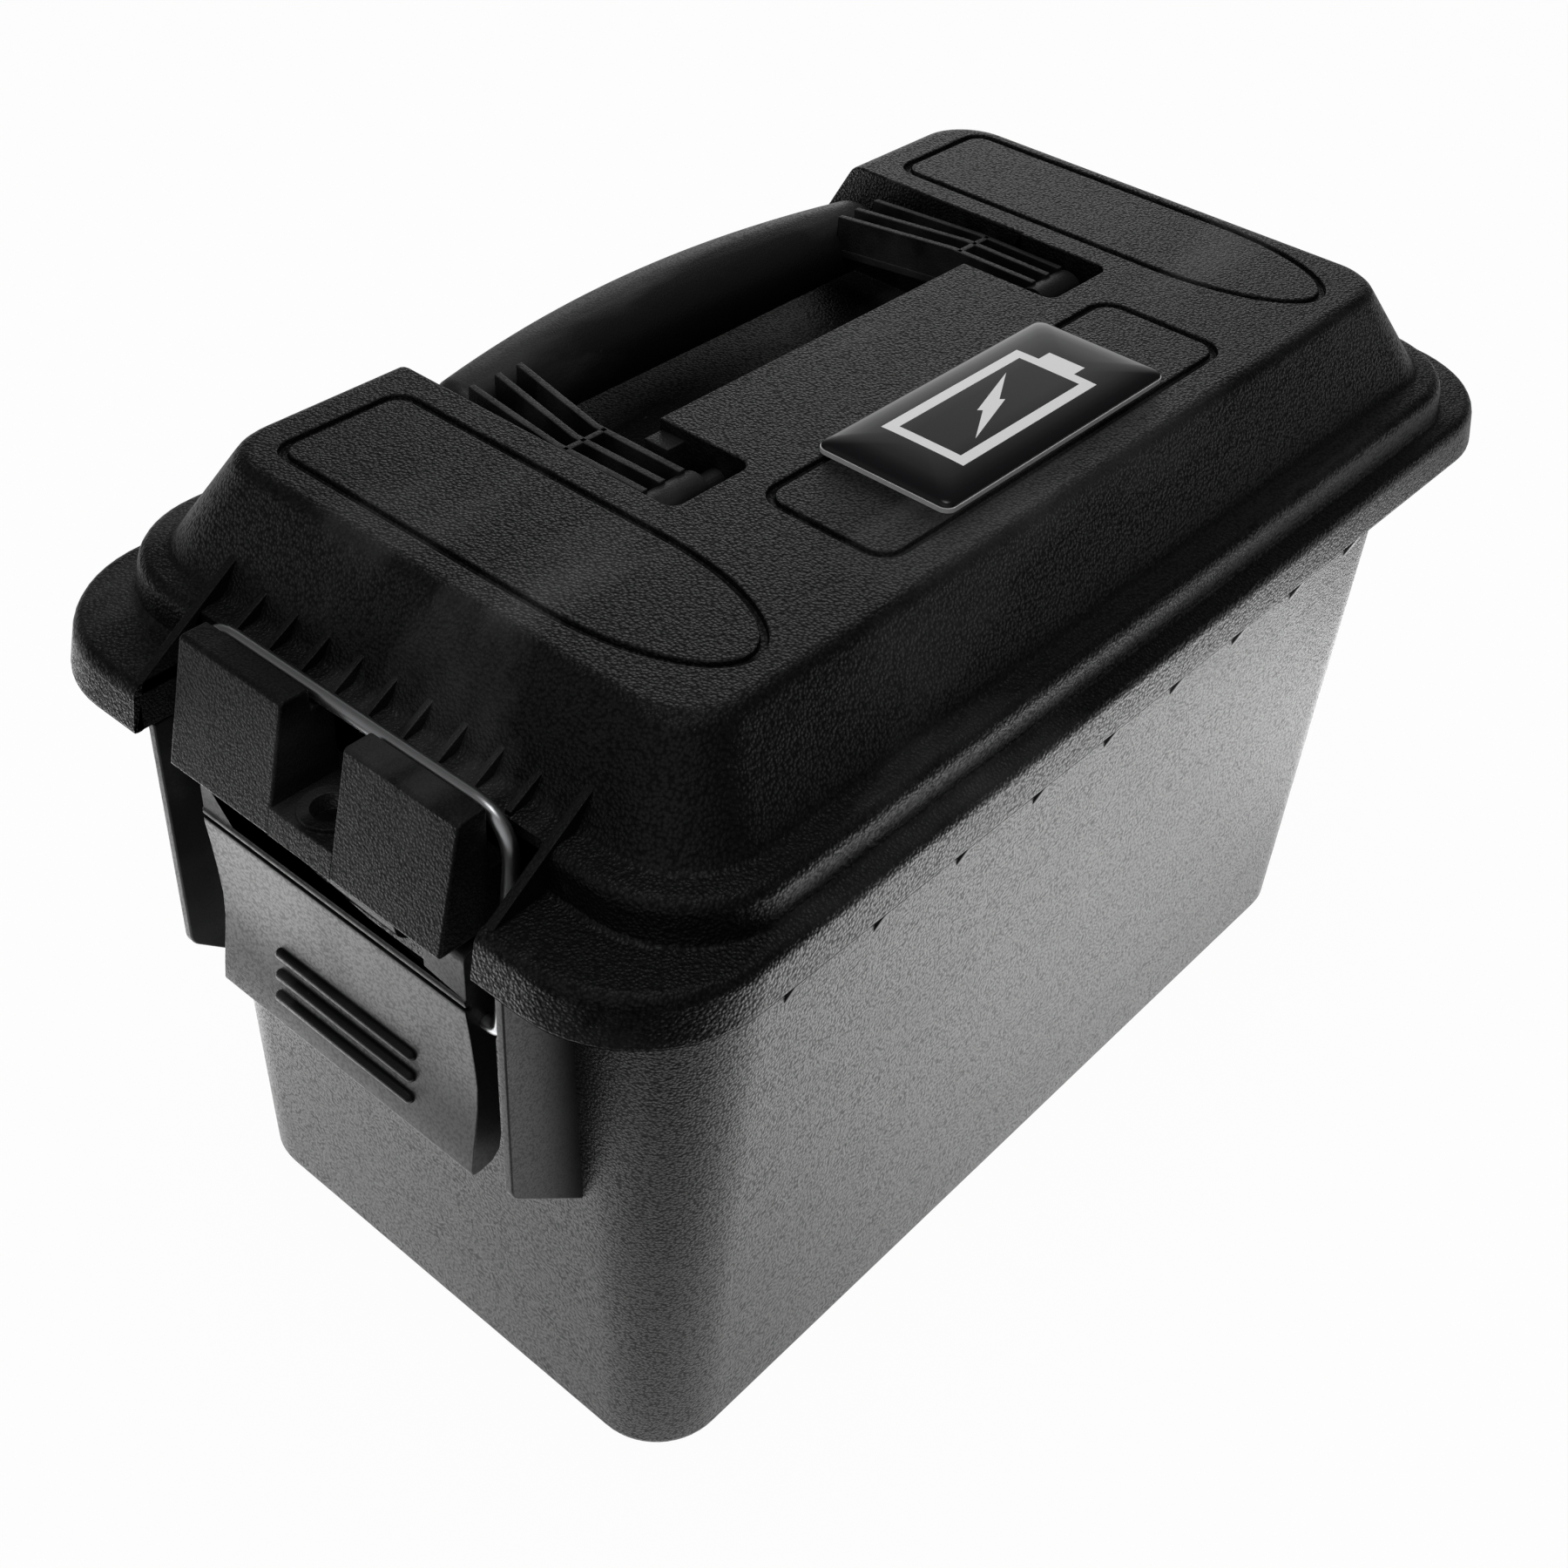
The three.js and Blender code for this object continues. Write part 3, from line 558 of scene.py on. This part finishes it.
# Two guard fins stand either side of the latch, with a rounded lower front corner.
fin_corner = arc((-133.7, 87.4), 4.0, 180, 230, 5)
fin_side = [(-119.0, 139.5), (-137.7, 139.5), *fin_corner, (-121.0, 70.6), (-119.0, 69.6)]
fin_bm = bmesh.new()
slab(fin_bm, fin_side, "X", 43.8, 45.8)
both_sides(fin_bm)
tub_fins = as_object(fin_bm, "tub_guard_fins")
soften(tub_fins, 0.4, steps=3)

# Round-nosed knuckles hold the latch lever's pin.
LEVER_PIN = (-131.0, 130.0)
nose_side = [(-121.5, 125.5), (-121.5, 133.0), *arc(LEVER_PIN, 5.0, 90, 270, 12)]
nose_bm = bmesh.new()
for x0, x1 in ((-25.4, -13.0), (0.0, 17.5)):
    slab(nose_bm, nose_side, "X", x0, x1)
tub_knuckles = as_object(nose_bm, "tub_latch_knuckles")
soften(tub_knuckles, 0.3)

# Rear knuckles, two each side, carry the lid's hinge pins.
HINGE_PIN = (136.5, 138.0)
HINGE_RADIUS = 4.0
lug_nose = arc(HINGE_PIN, HINGE_RADIUS, -120, 90, 10)
lug_side = [(121.5, 142.0), (121.5, 129.0), (134.5, 134.5), *lug_nose]
rear_bm = bmesh.new()
for x0, x1 in ((18.5, 27.5), (40.5, 49.5)):
    slab(rear_bm, lug_side, "X", x0, x1)
both_sides(rear_bm)
tub_hinge = as_object(rear_bm, "tub_hinge_knuckles")
soften(tub_hinge, 0.3)

for part in (tub_gussets, tub_flange, tub_fins, tub_knuckles, tub_hinge):
    part.data.materials.append(tub_smooth)
    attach(part, "tub")


# ============================================================== steel pins
# Drawn steel rods, pushed through the latch and hinge knuckles; only their ends show.
def drawn_steel(name, colour, roughness):
    """Steel with fine draw lines along X and faint dull patches."""
    material, tree, shader = new_material(name)
    place = object_place(tree)
    along = vector_node(tree, "MULTIPLY", place, (300.0, 9000.0, 9000.0))
    lines = noise_node(tree, along, 1.0, 3.0)[0]
    patches = noise_node(tree, place, 180.0)[0]
    dull = (*[c * 0.7 for c in colour[:3]], 1)
    base_colour(tree, shader, patches, colour, dull)
    rough = math_node(tree, "MULTIPLY_ADD", patches, 0.12, roughness)
    tree.links.new(rough, shader.inputs["Roughness"])
    shader.inputs["Metallic"].default_value = 1.0
    bump_from(tree, shader, lines, 0.004)
    return material


pin_steel = drawn_steel("pin_steel", (0.55, 0.55, 0.56, 1), 0.3)
redress(("latch_pin", "hinge_pin_left", "hinge_pin_right"), pin_steel)


# ============================================================== lid
# The stepped cover: grained black polypropylene, with a skirt over the tub's rim,
# a round bead, slanted walls and a flat top that has grooved pads and a handle well.
LID_OUTSIDE = (
    (80.5, 141.5, 26.1, 139.9),
    (80.9, 141.9, 26.5, 140.3),
    (80.5, 140.8, 27.2, 147.2),
    (80.3, 140.5, 27.1, 148.1),
    (79.8, 139.9, 26.6, 149.0),
    (79.1, 139.2, 25.9, 149.5),
    (78.3, 138.4, 25.1, 149.7),
    (76.9, 128.4, 22.2, 150.1),
    (76.4, 127.4, 21.8, 150.4),
    (76.1, 127.0, 21.6, 151.0),
    (75.9, 126.6, 22.2, 155.4),
    (75.7, 126.4, 22.2, 156.5),
    (75.2, 125.9, 21.8, 157.4),
    (74.4, 125.1, 21.1, 158.0),
    (73.4, 124.1, 20.2, 158.35),
    (70.6, 121.4, 17.3, 158.6),
    (69.7, 120.5, 16.4, 158.9),
    (69.0, 119.8, 15.6, 159.6),
    (68.4, 119.2, 15.2, 160.6),
    (59.5, 110.4, 12.3, 176.0),
    (58.9, 109.8, 12.0, 176.9),
    (58.1, 109.0, 11.7, 177.6),
    (57.2, 108.1, 11.3, 178.0),
    (56.0, 106.9, 10.6, 178.2),
)
LID_HOLLOW = (
    (78.9, 139.9, 24.7, 138.0),
    (78.6, 139.6, 24.4, 147.3),
    (73.2, 123.8, 20.6, 147.4),
    (73.2, 123.8, 20.6, 148.5),
    (65.0, 116.0, 12.4, 148.6),
    (65.0, 116.0, 12.4, 159.0),
    (55.6, 106.6, 8.4, 174.6),
    (53.0, 104.0, 7.0, 175.4),
)
TOP = 178.2
ABOVE = 200.0
TOP_MIDDLE = 1.5
WELL_LEFT = -69.5
WELL_RIGHT = -10.2
WELL_FRONT = -65.4
WELL_REAR = 68.9
WELL_FLOOR = 152.5
WELL_SILL = 158.62
WELL_WALL = 2.5
SLOT_INNER = 46.4
SLOT_OUTER = 66.9
SLOT_MIDDLE = -3.6
SLOT_HALF_LENGTH = 16.4
SLOT_CORNER = 2.6
SLOT_FLOOR = 162.5
PAD_LEFT = -50.8
PAD_STRAIGHT = 18.0
PAD_TIP = 34.2
PAD_HALF = 15.3
PAD_AWAY = 88.9
BAY_HALF = 43.4
LID_BLACK = (0.0032, 0.0032, 0.0034, 1)


def end_pad(inset, low, high):
    """An end pad, pushed up from low to high: square at -X, a half ellipse at +X."""
    bm = bmesh.new()
    left = PAD_LEFT + inset
    half = PAD_HALF - inset
    corner = 4.6 - 0.6 * inset
    outline = []
    for k in range(33):
        sweep = math.radians(-90 + 180 * k / 32)
        tip = PAD_TIP - inset
        outline.append((PAD_STRAIGHT + tip * math.cos(sweep), half * math.sin(sweep)))
    outline += arc((left + corner, half - corner), corner, 90, 180, 6)
    outline += arc((left + corner, corner - half), corner, 180, 270, 6)
    slab(bm, outline, "Z", low, high)
    return bm


def groove_tool(outer, inner, name):
    """A thin ring that presses a groove: the outer outline less the inner one."""
    ring = as_object(outer, name)
    carve(ring, [as_object(inner, "core")])
    return ring


def handle_well(grow):
    """The handle well and its two arm slots; grow makes them larger by a wall's thickness."""
    bm = bmesh.new()
    sides = (WELL_LEFT - grow, WELL_RIGHT + grow, WELL_FRONT - grow, WELL_REAR + grow)
    block(bm, *sides, WELL_FLOOR - grow, ABOVE + grow)
    well = as_object(bm, "well")
    slot_half = (SLOT_OUTER - SLOT_INNER) / 2
    size = (SLOT_HALF_LENGTH + grow, slot_half + grow, SLOT_CORNER + grow)
    heights = ((*size, SLOT_FLOOR - grow), (*size, ABOVE - 2 + grow))
    for side in (-1, 1):
        middle = (SLOT_MIDDLE, TOP_MIDDLE + side * (SLOT_INNER + slot_half))
        slot = as_object(moulding(heights, centre=middle, steps=6), "slot")
        carve(well, [slot], "UNION")
    return well


# The shell: solid outside, then hollowed, with a tray left standing round the handle well.
lid_shell = as_object(moulding(LID_OUTSIDE), "lid_shell")
hollow = as_object(moulding(LID_HOLLOW), "hollow")
carve(hollow, [handle_well(WELL_WALL)])
carve(lid_shell, [hollow])

# Handle well: open to the -X side, where the slanted wall is cut away too.
well_tool = handle_well(0)
mouth_bm = bmesh.new()
block(mouth_bm, -95, -12, WELL_FRONT, WELL_REAR, WELL_SILL, ABOVE - 1)
carve(well_tool, [as_object(mouth_bm, "mouth")], "UNION")
carve(lid_shell, [well_tool])

# Latch bay in the front of the skirt, and a notch in the rear over each hinge.
bay_bm = bmesh.new()
block(bay_bm, -BAY_HALF, BAY_HALF, -155, -125.2, 130, 170.6)
block(bay_bm, 17.5, 50.5, 131.0, 155, 130, 146.2)
block(bay_bm, -50.5, -17.5, 131.0, 155, 130, 146.2)
carve(lid_shell, [as_object(bay_bm, "bays")])

# Grooves: one round each end pad, and one round the label field.
GROOVE = 1.5
GROOVE_DEEP = 1.1
groove_low = TOP - GROOVE_DEEP
for middle in (TOP_MIDDLE - PAD_AWAY, TOP_MIDDLE + PAD_AWAY):
    outer = end_pad(0, groove_low, TOP + 4)
    inner = end_pad(GROOVE, groove_low - 1, TOP + 5)
    for shape in (outer, inner):
        bmesh.ops.translate(shape, verts=shape.verts, vec=(0, middle * MM, 0))
    carve(lid_shell, [groove_tool(outer, inner, "pad_groove")])
field = (35.1, TOP_MIDDLE + 0.55)
outer = moulding(((15.2, 54.4, 5.5, groove_low), (15.2, 54.4, 5.5, TOP + 4)), field, 6)
inner = moulding(((13.7, 52.9, 4.2, groove_low - 1), (13.7, 52.9, 4.2, TOP + 5)), field, 6)
carve(lid_shell, [groove_tool(outer, inner, "label_groove")])


def beside_latch_bay(edge):
    """True for an edge of the latch bay's side walls, which the cheek ribs cover."""
    return all(abs(abs(v.co.x) - BAY_HALF * MM) < 0.1 * MM and v.co.y < 0 for v in edge.verts)


soften(lid_shell, 0.45, spared=beside_latch_bay)

# Latch keeper: two blocks that the bail hooks behind, and a shelf with a padlock ring.
KEEPER_SIDE = ((-124.9, 137.8), (-141.0, 137.8), (-135.4, 162.0), (-134.8, 162.7),
               (-129.5, 162.7), (-129.5, 158.6), (-124.9, 158.6))
SHELF_SIDE = ((-124.9, 140.4), (-138.6, 140.4), (-138.6, 137.8), (-141.0, 137.8),
              (-139.8, 143.2), (-124.9, 143.2))
PADLOCK_HOLE = (0, -133.2)

keeper_bm = bmesh.new()
slab(keeper_bm, KEEPER_SIDE, "X", 7.8, 35.0)
both_sides(keeper_bm)
lid_keeper = as_object(keeper_bm, "lid_keeper_blocks")
relief_bm = bmesh.new()
block(relief_bm, 27.0, 40.0, -129.5, -120.0, 150.0, 170)
both_sides(relief_bm)
carve(lid_keeper, [as_object(relief_bm, "bend_relief")])
soften(lid_keeper, 0.55, steps=3)

shelf_bm = bmesh.new()
slab(shelf_bm, SHELF_SIDE, "X", -8.2, 8.2)
lid_shelf = as_object(shelf_bm, "lid_padlock_shelf")
ring_bm = bmesh.new()
rod(ring_bm, "Z", *PADLOCK_HOLE, 5.9, 142.6, 144.2, 40)
carve(lid_shelf, [as_object(ring_bm, "ring")], "UNION")
hole_bm = bmesh.new()
rod(hole_bm, "Z", *PADLOCK_HOLE, 3.6, 130, 150, 40)
carve(lid_shelf, [as_object(hole_bm, "hole")])
soften(lid_shelf, 0.3)

# Two thin cheek ribs stand at the ends of the latch bay, with its back wall between them.
CHEEK_SIDE = ((-123.8, 139.9), (-141.6, 139.9), (-138.9, 149.4), (-113.6, 167.2),
              (-110.0, 160.0))
cheek_bm = bmesh.new()
slab(cheek_bm, CHEEK_SIDE, "X", BAY_HALF, BAY_HALF + 2.0)
both_sides(cheek_bm)
block(cheek_bm, -44.0, 44.0, -125.2, -123.8, 139.9, 156.0)
lid_cheeks = as_object(cheek_bm, "lid_cheek_ribs")
soften(lid_cheeks, 0.3)

# Nine low triangular ribs prop the front wall above the wire's channel.
RIB_SIDE = ((-112.0, 157.0), (-124.9, 157.0), (-124.9, 158.9), (-116.3, 163.9),
            (-112.0, 163.9))
RIB_PITCH = 8.6
RIB_HALF = 0.7
rib_bm = bmesh.new()
for k in range(-4, 5):
    slab(rib_bm, RIB_SIDE, "X", RIB_PITCH * k - RIB_HALF, RIB_PITCH * k + RIB_HALF)
lid_ribs = as_object(rib_bm, "lid_front_ribs")
soften(lid_ribs, 0.25)

# A small catch on the centre panel beside the front arm, and the two hinge knuckles.
catch_bm = bmesh.new()
block(catch_bm, -9.6, -3.6, -49.5, -44.0, 166.0, 176.0)
knuckle_side = [(140.5, 148.4), (132.5, 148.4), *arc(HINGE_PIN, HINGE_RADIUS, 180, 360, 12)]
for side in (-1, 1):
    slab(catch_bm, knuckle_side, "X", *sorted((side * 28.2, side * 39.8)))
lid_small = as_object(catch_bm, "lid_catch_and_knuckles")
soften(lid_small, 0.35)

lid_grain = grained_plastic("lid_grained_black", LID_BLACK, 0.32, 1600.0, 0.16, shine=0.36)
lid_smooth = grained_plastic("lid_latch_black", LID_BLACK, 0.38, 1900.0, 0.09, shine=0.38)
lid_shell.data.materials.append(lid_grain)
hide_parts("lid")
for part in (lid_keeper, lid_shelf, lid_cheeks, lid_ribs, lid_small):
    part.data.materials.append(lid_smooth)
for part in (lid_shell, lid_keeper, lid_shelf, lid_cheeks, lid_ribs, lid_small):
    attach(part, "lid")


# ============================================================== lid seal
# A soft foam-rubber cord pressed into the lid, over the tub's rim.
seal_rubber, seal_tree, seal_shader = new_material("seal_rubber")
seal_cells = seal_tree.nodes.new("ShaderNodeTexVoronoi")
seal_cells.inputs["Scale"].default_value = 2600.0
seal_tree.links.new(object_place(seal_tree), seal_cells.inputs["Vector"])
cell = seal_cells.outputs["Distance"]
base_colour(seal_tree, seal_shader, cell, (0.004, 0.004, 0.004, 1), (0.018, 0.018, 0.018, 1))
seal_shader.inputs["Roughness"].default_value = 0.9
bump_from(seal_tree, seal_shader, cell, 0.05)
redress(("lid_seal",), seal_rubber)


# ============================================================== handle
# A folding carry handle, moulded in one: a bowed round grip on two arms, each made of
# three thin ribs on a web; two plastic pins hold it in the slots of the lid.
PIVOT = (4.5, 171.5)
GRIP_HALF = 62.0
ARM_LOW = 166.6
WEB_TOP = 168.4
RIB_TOP = 176.0
HANDLE_BLACK = (0.0050, 0.0050, 0.0052, 1)


def grip_ring(bm, v, shrink):
    """One round section of the grip; v runs from -1 to 1 along it."""
    bow = 1 - v * v
    radius = (7.4 + 2.6 * bow) * shrink
    centre = Vector((-50.4 - 5.4 * bow, TOP_MIDDLE + GRIP_HALF * v, 166.6 - 1.1 * bow))
    known = set(bm.faces)
    turn = Matrix.Translation(centre * MM) @ Matrix.Rotation(math.radians(90), 4, "X")
    bmesh.ops.create_circle(bm, cap_ends=True, segments=40, radius=radius * MM, matrix=turn)
    return next(face for face in bm.faces if face not in known)


grip_bm = bmesh.new()
stations = [(-1.0, 0.55), (-0.995, 0.78), (-0.98, 0.93), (-0.955, 1.0)]
stations += [(k / 13, 1.0) for k in range(-12, 13)]
stations += [(0.955, 1.0), (0.98, 0.93), (0.995, 0.78), (1.0, 0.55)]
skin(grip_bm, [grip_ring(grip_bm, *station) for station in stations])
handle_grip = as_object(grip_bm, "handle_grip")
soften(handle_grip, 0.1, sharper_than=80)


def arm_rib(bm, near, bend, far, half=0.8):
    """One upright rib of an arm, straight over the slot and splayed out to the grip."""
    plan = ((3.0, near - half), (3.0, near + half), (-19, bend + half), (-46, far + half),
            (-46, far - half), (-19, bend - half))
    slab(bm, plan, "Z", ARM_LOW, RIB_TOP)


arm_bm = bmesh.new()
WEB_PLAN = ((4.5, -54.0), (4.5, -64.5), (-19, -64.3), (-46, -61.3), (-46, -47.5), (-19, -53.2))
CROSS_RIB_PLAN = ((-17.6, -64.4), (-16.2, -64.4), (-16.2, -53.4), (-17.6, -53.4))
slab(arm_bm, WEB_PLAN, "Z", ARM_LOW, WEB_TOP)
arm_rib(arm_bm, -54.1, -54.1, -48.3)
arm_rib(arm_bm, -59.2, -59.4, -53.9)
arm_rib(arm_bm, -63.7, -63.9, -60.6)
slab(arm_bm, CROSS_RIB_PLAN, "Z", ARM_LOW, RIB_TOP)
rod(arm_bm, "Y", *PIVOT, 4.0, -64.6, -52.0, 32)
both_sides(arm_bm, across=(0, 1, 0))
bmesh.ops.translate(arm_bm, verts=arm_bm.verts, vec=(0, TOP_MIDDLE * MM, 0))
handle_arms = as_object(arm_bm, "handle_arms")
soften(handle_arms, 0.25)

handle_black = grained_plastic(
    "handle_black", HANDLE_BLACK, 0.38, 1900.0, 0.04, dust=(0.6, 0.3), shine=0.55
)
for part in (handle_grip, handle_arms):
    part.data.materials.append(handle_black)
    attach(part, "handle")
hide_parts("handle")
redress(("handle_pin_front", "handle_pin_rear"), handle_black)


# ============================================================== latch lever
# The pull flap: smooth black polypropylene with a dished face, a flared lower lip,
# three raised finger ribs, side walls, and two posts that turn on the steel pin.
LEVER_HALF = 34.9
FLAP_WALL = 2.3
SIDE_WALL = 2.0
FINGER_RADIUS = 1.25
FINGER_HALF = 17.8
FLAP_FACE = ((-136.3, 124.6), (-136.3, 121.5), (-135.7, 115.5), (-135.2, 109.0),
             (-134.9, 103.0), (-135.2, 97.5), (-135.9, 92.5), (-136.8, 87.0), (-137.3, 83.0))
LEVER_BACK = ((-137.1, 82.2), (-135.2, 81.9), (-132.4, 82.4), (-130.7, 84.2),
              (-130.1, 87.5), (-130.1, 111.5), (-128.6, 114.5), (-128.6, 123.0),
              (-126.5, 127.0), (-126.5, 133.0), (-130.0, 135.4), (-134.0, 135.4),
              (-135.5, 134.9), (-136.0, 133.4), (-136.0, 125.0))
LEVER_BLACK = (0.0070, 0.0070, 0.0072, 1)

lever_bm = bmesh.new()
slab(lever_bm, FLAP_FACE + LEVER_BACK, "X", -LEVER_HALF, LEVER_HALF)
latch_lever = as_object(lever_bm, "latch_flap")
hollow_bm = bmesh.new()
hollow_side = [(y + FLAP_WALL, z) for y, z in FLAP_FACE]
hollow_side += [(-134.9, 78.0), (-120.0, 78.0), (-120.0, 124.6)]
slab(hollow_bm, hollow_side, "X", SIDE_WALL - LEVER_HALF, LEVER_HALF - SIDE_WALL)
window_bm = bmesh.new()
block(window_bm, -25.9, 24.5, -150, -110, 125.2, 150)
window_back = bmesh.new()
block(window_back, -25.9, 24.5, -134.3, -110, 120.0, 150)
groove_bm = bmesh.new()
block(groove_bm, -50, 50, -145, -135.1, 122.7, 123.5)
tools = [hollow_bm, window_bm, window_back, groove_bm]
carve(latch_lever, [as_object(tool, "lever_tool") for tool in tools])
soften(latch_lever, 0.3)

# Each finger rib is a ball whose two halves are pulled apart along X.
lay_down = Matrix.Rotation(math.pi / 2, 3, "Y")
finger_bm = bmesh.new()
for y, z in ((-135.1, 99.0), (-135.7, 94.0), (-136.4, 89.0)):
    ball = bmesh.ops.create_uvsphere(
        finger_bm, u_segments=16, v_segments=12, radius=FINGER_RADIUS * MM
    )
    verts = ball["verts"]
    bmesh.ops.rotate(finger_bm, verts=verts, cent=(0, 0, 0), matrix=lay_down)
    for vert in verts:
        if abs(vert.co.x) > 1e-7:
            vert.co.x += math.copysign(FINGER_HALF * MM, vert.co.x)
    bmesh.ops.translate(finger_bm, verts=verts, vec=Vector((0, y, z)) * MM)
finger_ribs = as_object(finger_bm, "latch_finger_ribs")
smooth_faces(finger_ribs)

lever_black = grained_plastic(
    "latch_satin_black", LEVER_BLACK, 0.33, 1600.0, 0.008, dust=(0.7, 0.5), shine=0.34
)
for part in (latch_lever, finger_ribs):
    part.data.materials.append(lever_black)
    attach(part, "lever")
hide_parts("latch_lever")


# ============================================================== bail
# One length of bright zinc-plated spring wire, bent to a rectangle; its feet hook into
# the lever's side walls and its crossbar lies in the channel behind the keeper blocks.
WIRE = 1.45
BAIL_FOOT = (-132.0, 117.5)
BAIL_BAR = (-127.4, 160.4)
FOOT_X = 31.4
LEG_X = 38.6
FOOT_BEND = 2.6
SHOULDER_BEND = 9.0


def wire_bend(corner, before, after, radius, steps=8):
    """Points round a bend: the corner's two tangent points and the arc between them."""
    start = corner + (before - corner).normalized() * radius
    stop = corner + (after - corner).normalized() * radius
    points = []
    for k in range(steps + 1):
        t = k / steps
        points.append(start * (1 - t) ** 2 + corner * 2 * t * (1 - t) + stop * t * t)
    return points


foot_tip = Vector((FOOT_X, *BAIL_FOOT))
foot = Vector((LEG_X, *BAIL_FOOT))
shoulder = Vector((LEG_X, *BAIL_BAR))
bar_middle = Vector((0, *BAIL_BAR))
half_wire = [foot_tip, *wire_bend(foot, foot_tip, shoulder, FOOT_BEND),
             *wire_bend(shoulder, foot, bar_middle, SHOULDER_BEND)]
other_half = [Vector((-p.x, p.y, p.z)) for p in reversed(half_wire)]
wire_path = half_wire + [bar_middle] + other_half

wire_curve = bpy.data.curves.new("bail_wire", "CURVE")
wire_curve.dimensions = "3D"
wire_curve.bevel_depth = WIRE * MM
wire_curve.bevel_resolution = 5
wire_curve.use_fill_caps = True
spline = wire_curve.splines.new("POLY")
spline.points.add(len(wire_path) - 1)
for point, place in zip(spline.points, wire_path):
    point.co = (*(place * MM), 1)
wire_source = in_scene(bpy.data.objects.new("bail_source", wire_curve))
wire_graph = bpy.context.evaluated_depsgraph_get()
wire_mesh = bpy.data.meshes.new_from_object(wire_source.evaluated_get(wire_graph))
bpy.data.objects.remove(wire_source)
bail = in_scene(bpy.data.objects.new("bail_wire", wire_mesh))
smooth_faces(bail)
bail_steel = drawn_steel("bail_bright_steel", (0.90, 0.91, 0.93, 1), 0.24)
bail.data.materials.append(bail_steel)
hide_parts("bail")
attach(bail, "bail")


# ============================================================== badge
# A white film printed in glossy black with a plain battery sign, stuck to the lid and
# covered by a dome of clear resin; the film's edge shows as a thin pale rim.
BADGE_MIDDLE = Vector((33.0, 1.5))
BADGE_HALF = (15.4, 34.6)
FILM_LOW = 178.25
FILM_TOP = 179.2

film_steps = ((*BADGE_HALF, 2.2, FILM_LOW), (*BADGE_HALF, 2.2, FILM_TOP))
badge_film = as_object(moulding(film_steps, BADGE_MIDDLE, 6), "badge_film")
film_white, film_tree, film_shader = new_material("film_white")
film_fibre = noise_node(film_tree, object_place(film_tree), 900.0)[0]
base_colour(film_tree, film_shader, film_fibre, (0.62, 0.62, 0.62, 1), (0.8, 0.8, 0.8, 1))
film_shader.inputs["Roughness"].default_value = 0.35
badge_film.data.materials.append(film_white)
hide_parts("badge_label")
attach(badge_film, "lid")

DOME_STEPS = ((0.15, 0.0), (0.15, 0.25), (0.3, 0.6), (0.7, 0.95), (1.3, 1.2), (2.2, 1.42),
              (3.6, 1.62), (5.4, 1.76), (8.0, 1.86), (11.0, 1.9))
dome_rings = []
for inset, rise in DOME_STEPS:
    half_x, half_y = BADGE_HALF
    dome_rings.append((half_x - inset, half_y - inset, 2.1 + inset * 0.12, FILM_TOP + rise))
badge_dome = as_object(moulding(dome_rings, BADGE_MIDDLE, 8), "badge_dome_cover")
smooth_faces(badge_dome)
badge_dome.modifiers.new("flat_faces_stay_flat", "WEIGHTED_NORMAL")

print_gloss, print_tree, print_shader = new_material("badge_print_gloss")
print_place = object_place(print_tree)
print_split = print_tree.nodes.new("ShaderNodeSeparateXYZ")
print_tree.links.new(print_place, print_split.inputs[0])
# u runs along the badge and v up it, in millimetres from its middle
along, across = print_split.outputs["Y"], print_split.outputs["X"]
print_u = math_node(print_tree, "MULTIPLY_ADD", along, 1000.0, -BADGE_MIDDLE.y)
print_v = math_node(print_tree, "MULTIPLY_ADD", across, -1000.0, BADGE_MIDDLE.x)


def between(value, low, high):
    """1 where the value lies between low and high, 0 elsewhere."""
    offset = math_node(print_tree, "SUBTRACT", value, (low + high) / 2)
    away = math_node(print_tree, "ABSOLUTE", offset)
    return math_node(print_tree, "LESS_THAN", away, (high - low) / 2)


def inside_box(u0, u1, v0, v1):
    """1 inside a box of the print, 0 outside it."""
    in_u = between(print_u, u0, u1)
    in_v = between(print_v, v0, v1)
    return math_node(print_tree, "MULTIPLY", in_u, in_v)


def left_of(a, b):
    """1 on the left of the line from a to b."""
    du, dv = b[0] - a[0], b[1] - a[1]
    part = math_node(print_tree, "MULTIPLY", print_u, -dv)
    whole = math_node(print_tree, "MULTIPLY_ADD", print_v, du, part)
    return math_node(print_tree, "GREATER_THAN", whole, a[1] * du - a[0] * dv)


def inside_triangle(a, b, c):
    """1 inside a triangle whose corners run anticlockwise."""
    two = math_node(print_tree, "MULTIPLY", left_of(a, b), left_of(b, c))
    return math_node(print_tree, "MULTIPLY", two, left_of(c, a))


case_out = inside_box(-23.0, 19.0, -9.5, 9.5)
case_in = inside_box(-20.6, 16.6, -7.1, 7.1)
case_line = math_node(print_tree, "SUBTRACT", case_out, case_in)
terminal = inside_box(19.0, 22.6, -4.2, 4.2)
bolt_a = inside_triangle((-14.0, -5.4), (1.6, -0.6), (-1.2, 1.9))
bolt_b = inside_triangle((10.0, 5.4), (-5.6, 0.6), (-2.8, -1.9))
sign = math_node(print_tree, "MAXIMUM", case_line, terminal)
sign = math_node(print_tree, "MAXIMUM", sign, bolt_a)
sign = math_node(print_tree, "MAXIMUM", sign, bolt_b)
PRINT_BLACK = (0.006, 0.006, 0.007, 1)
PRINT_WHITE = (0.83, 0.83, 0.83, 1)
base_colour(print_tree, print_shader, sign, PRINT_BLACK, PRINT_WHITE)
print_ripple = noise_node(print_tree, print_place, 120.0)[0]
print_rough = math_node(print_tree, "MULTIPLY_ADD", print_ripple, 0.05, 0.03)
print_tree.links.new(print_rough, print_shader.inputs["Roughness"])
badge_dome.data.materials.append(print_gloss)
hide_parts("badge_dome")
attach(badge_dome, "lid")
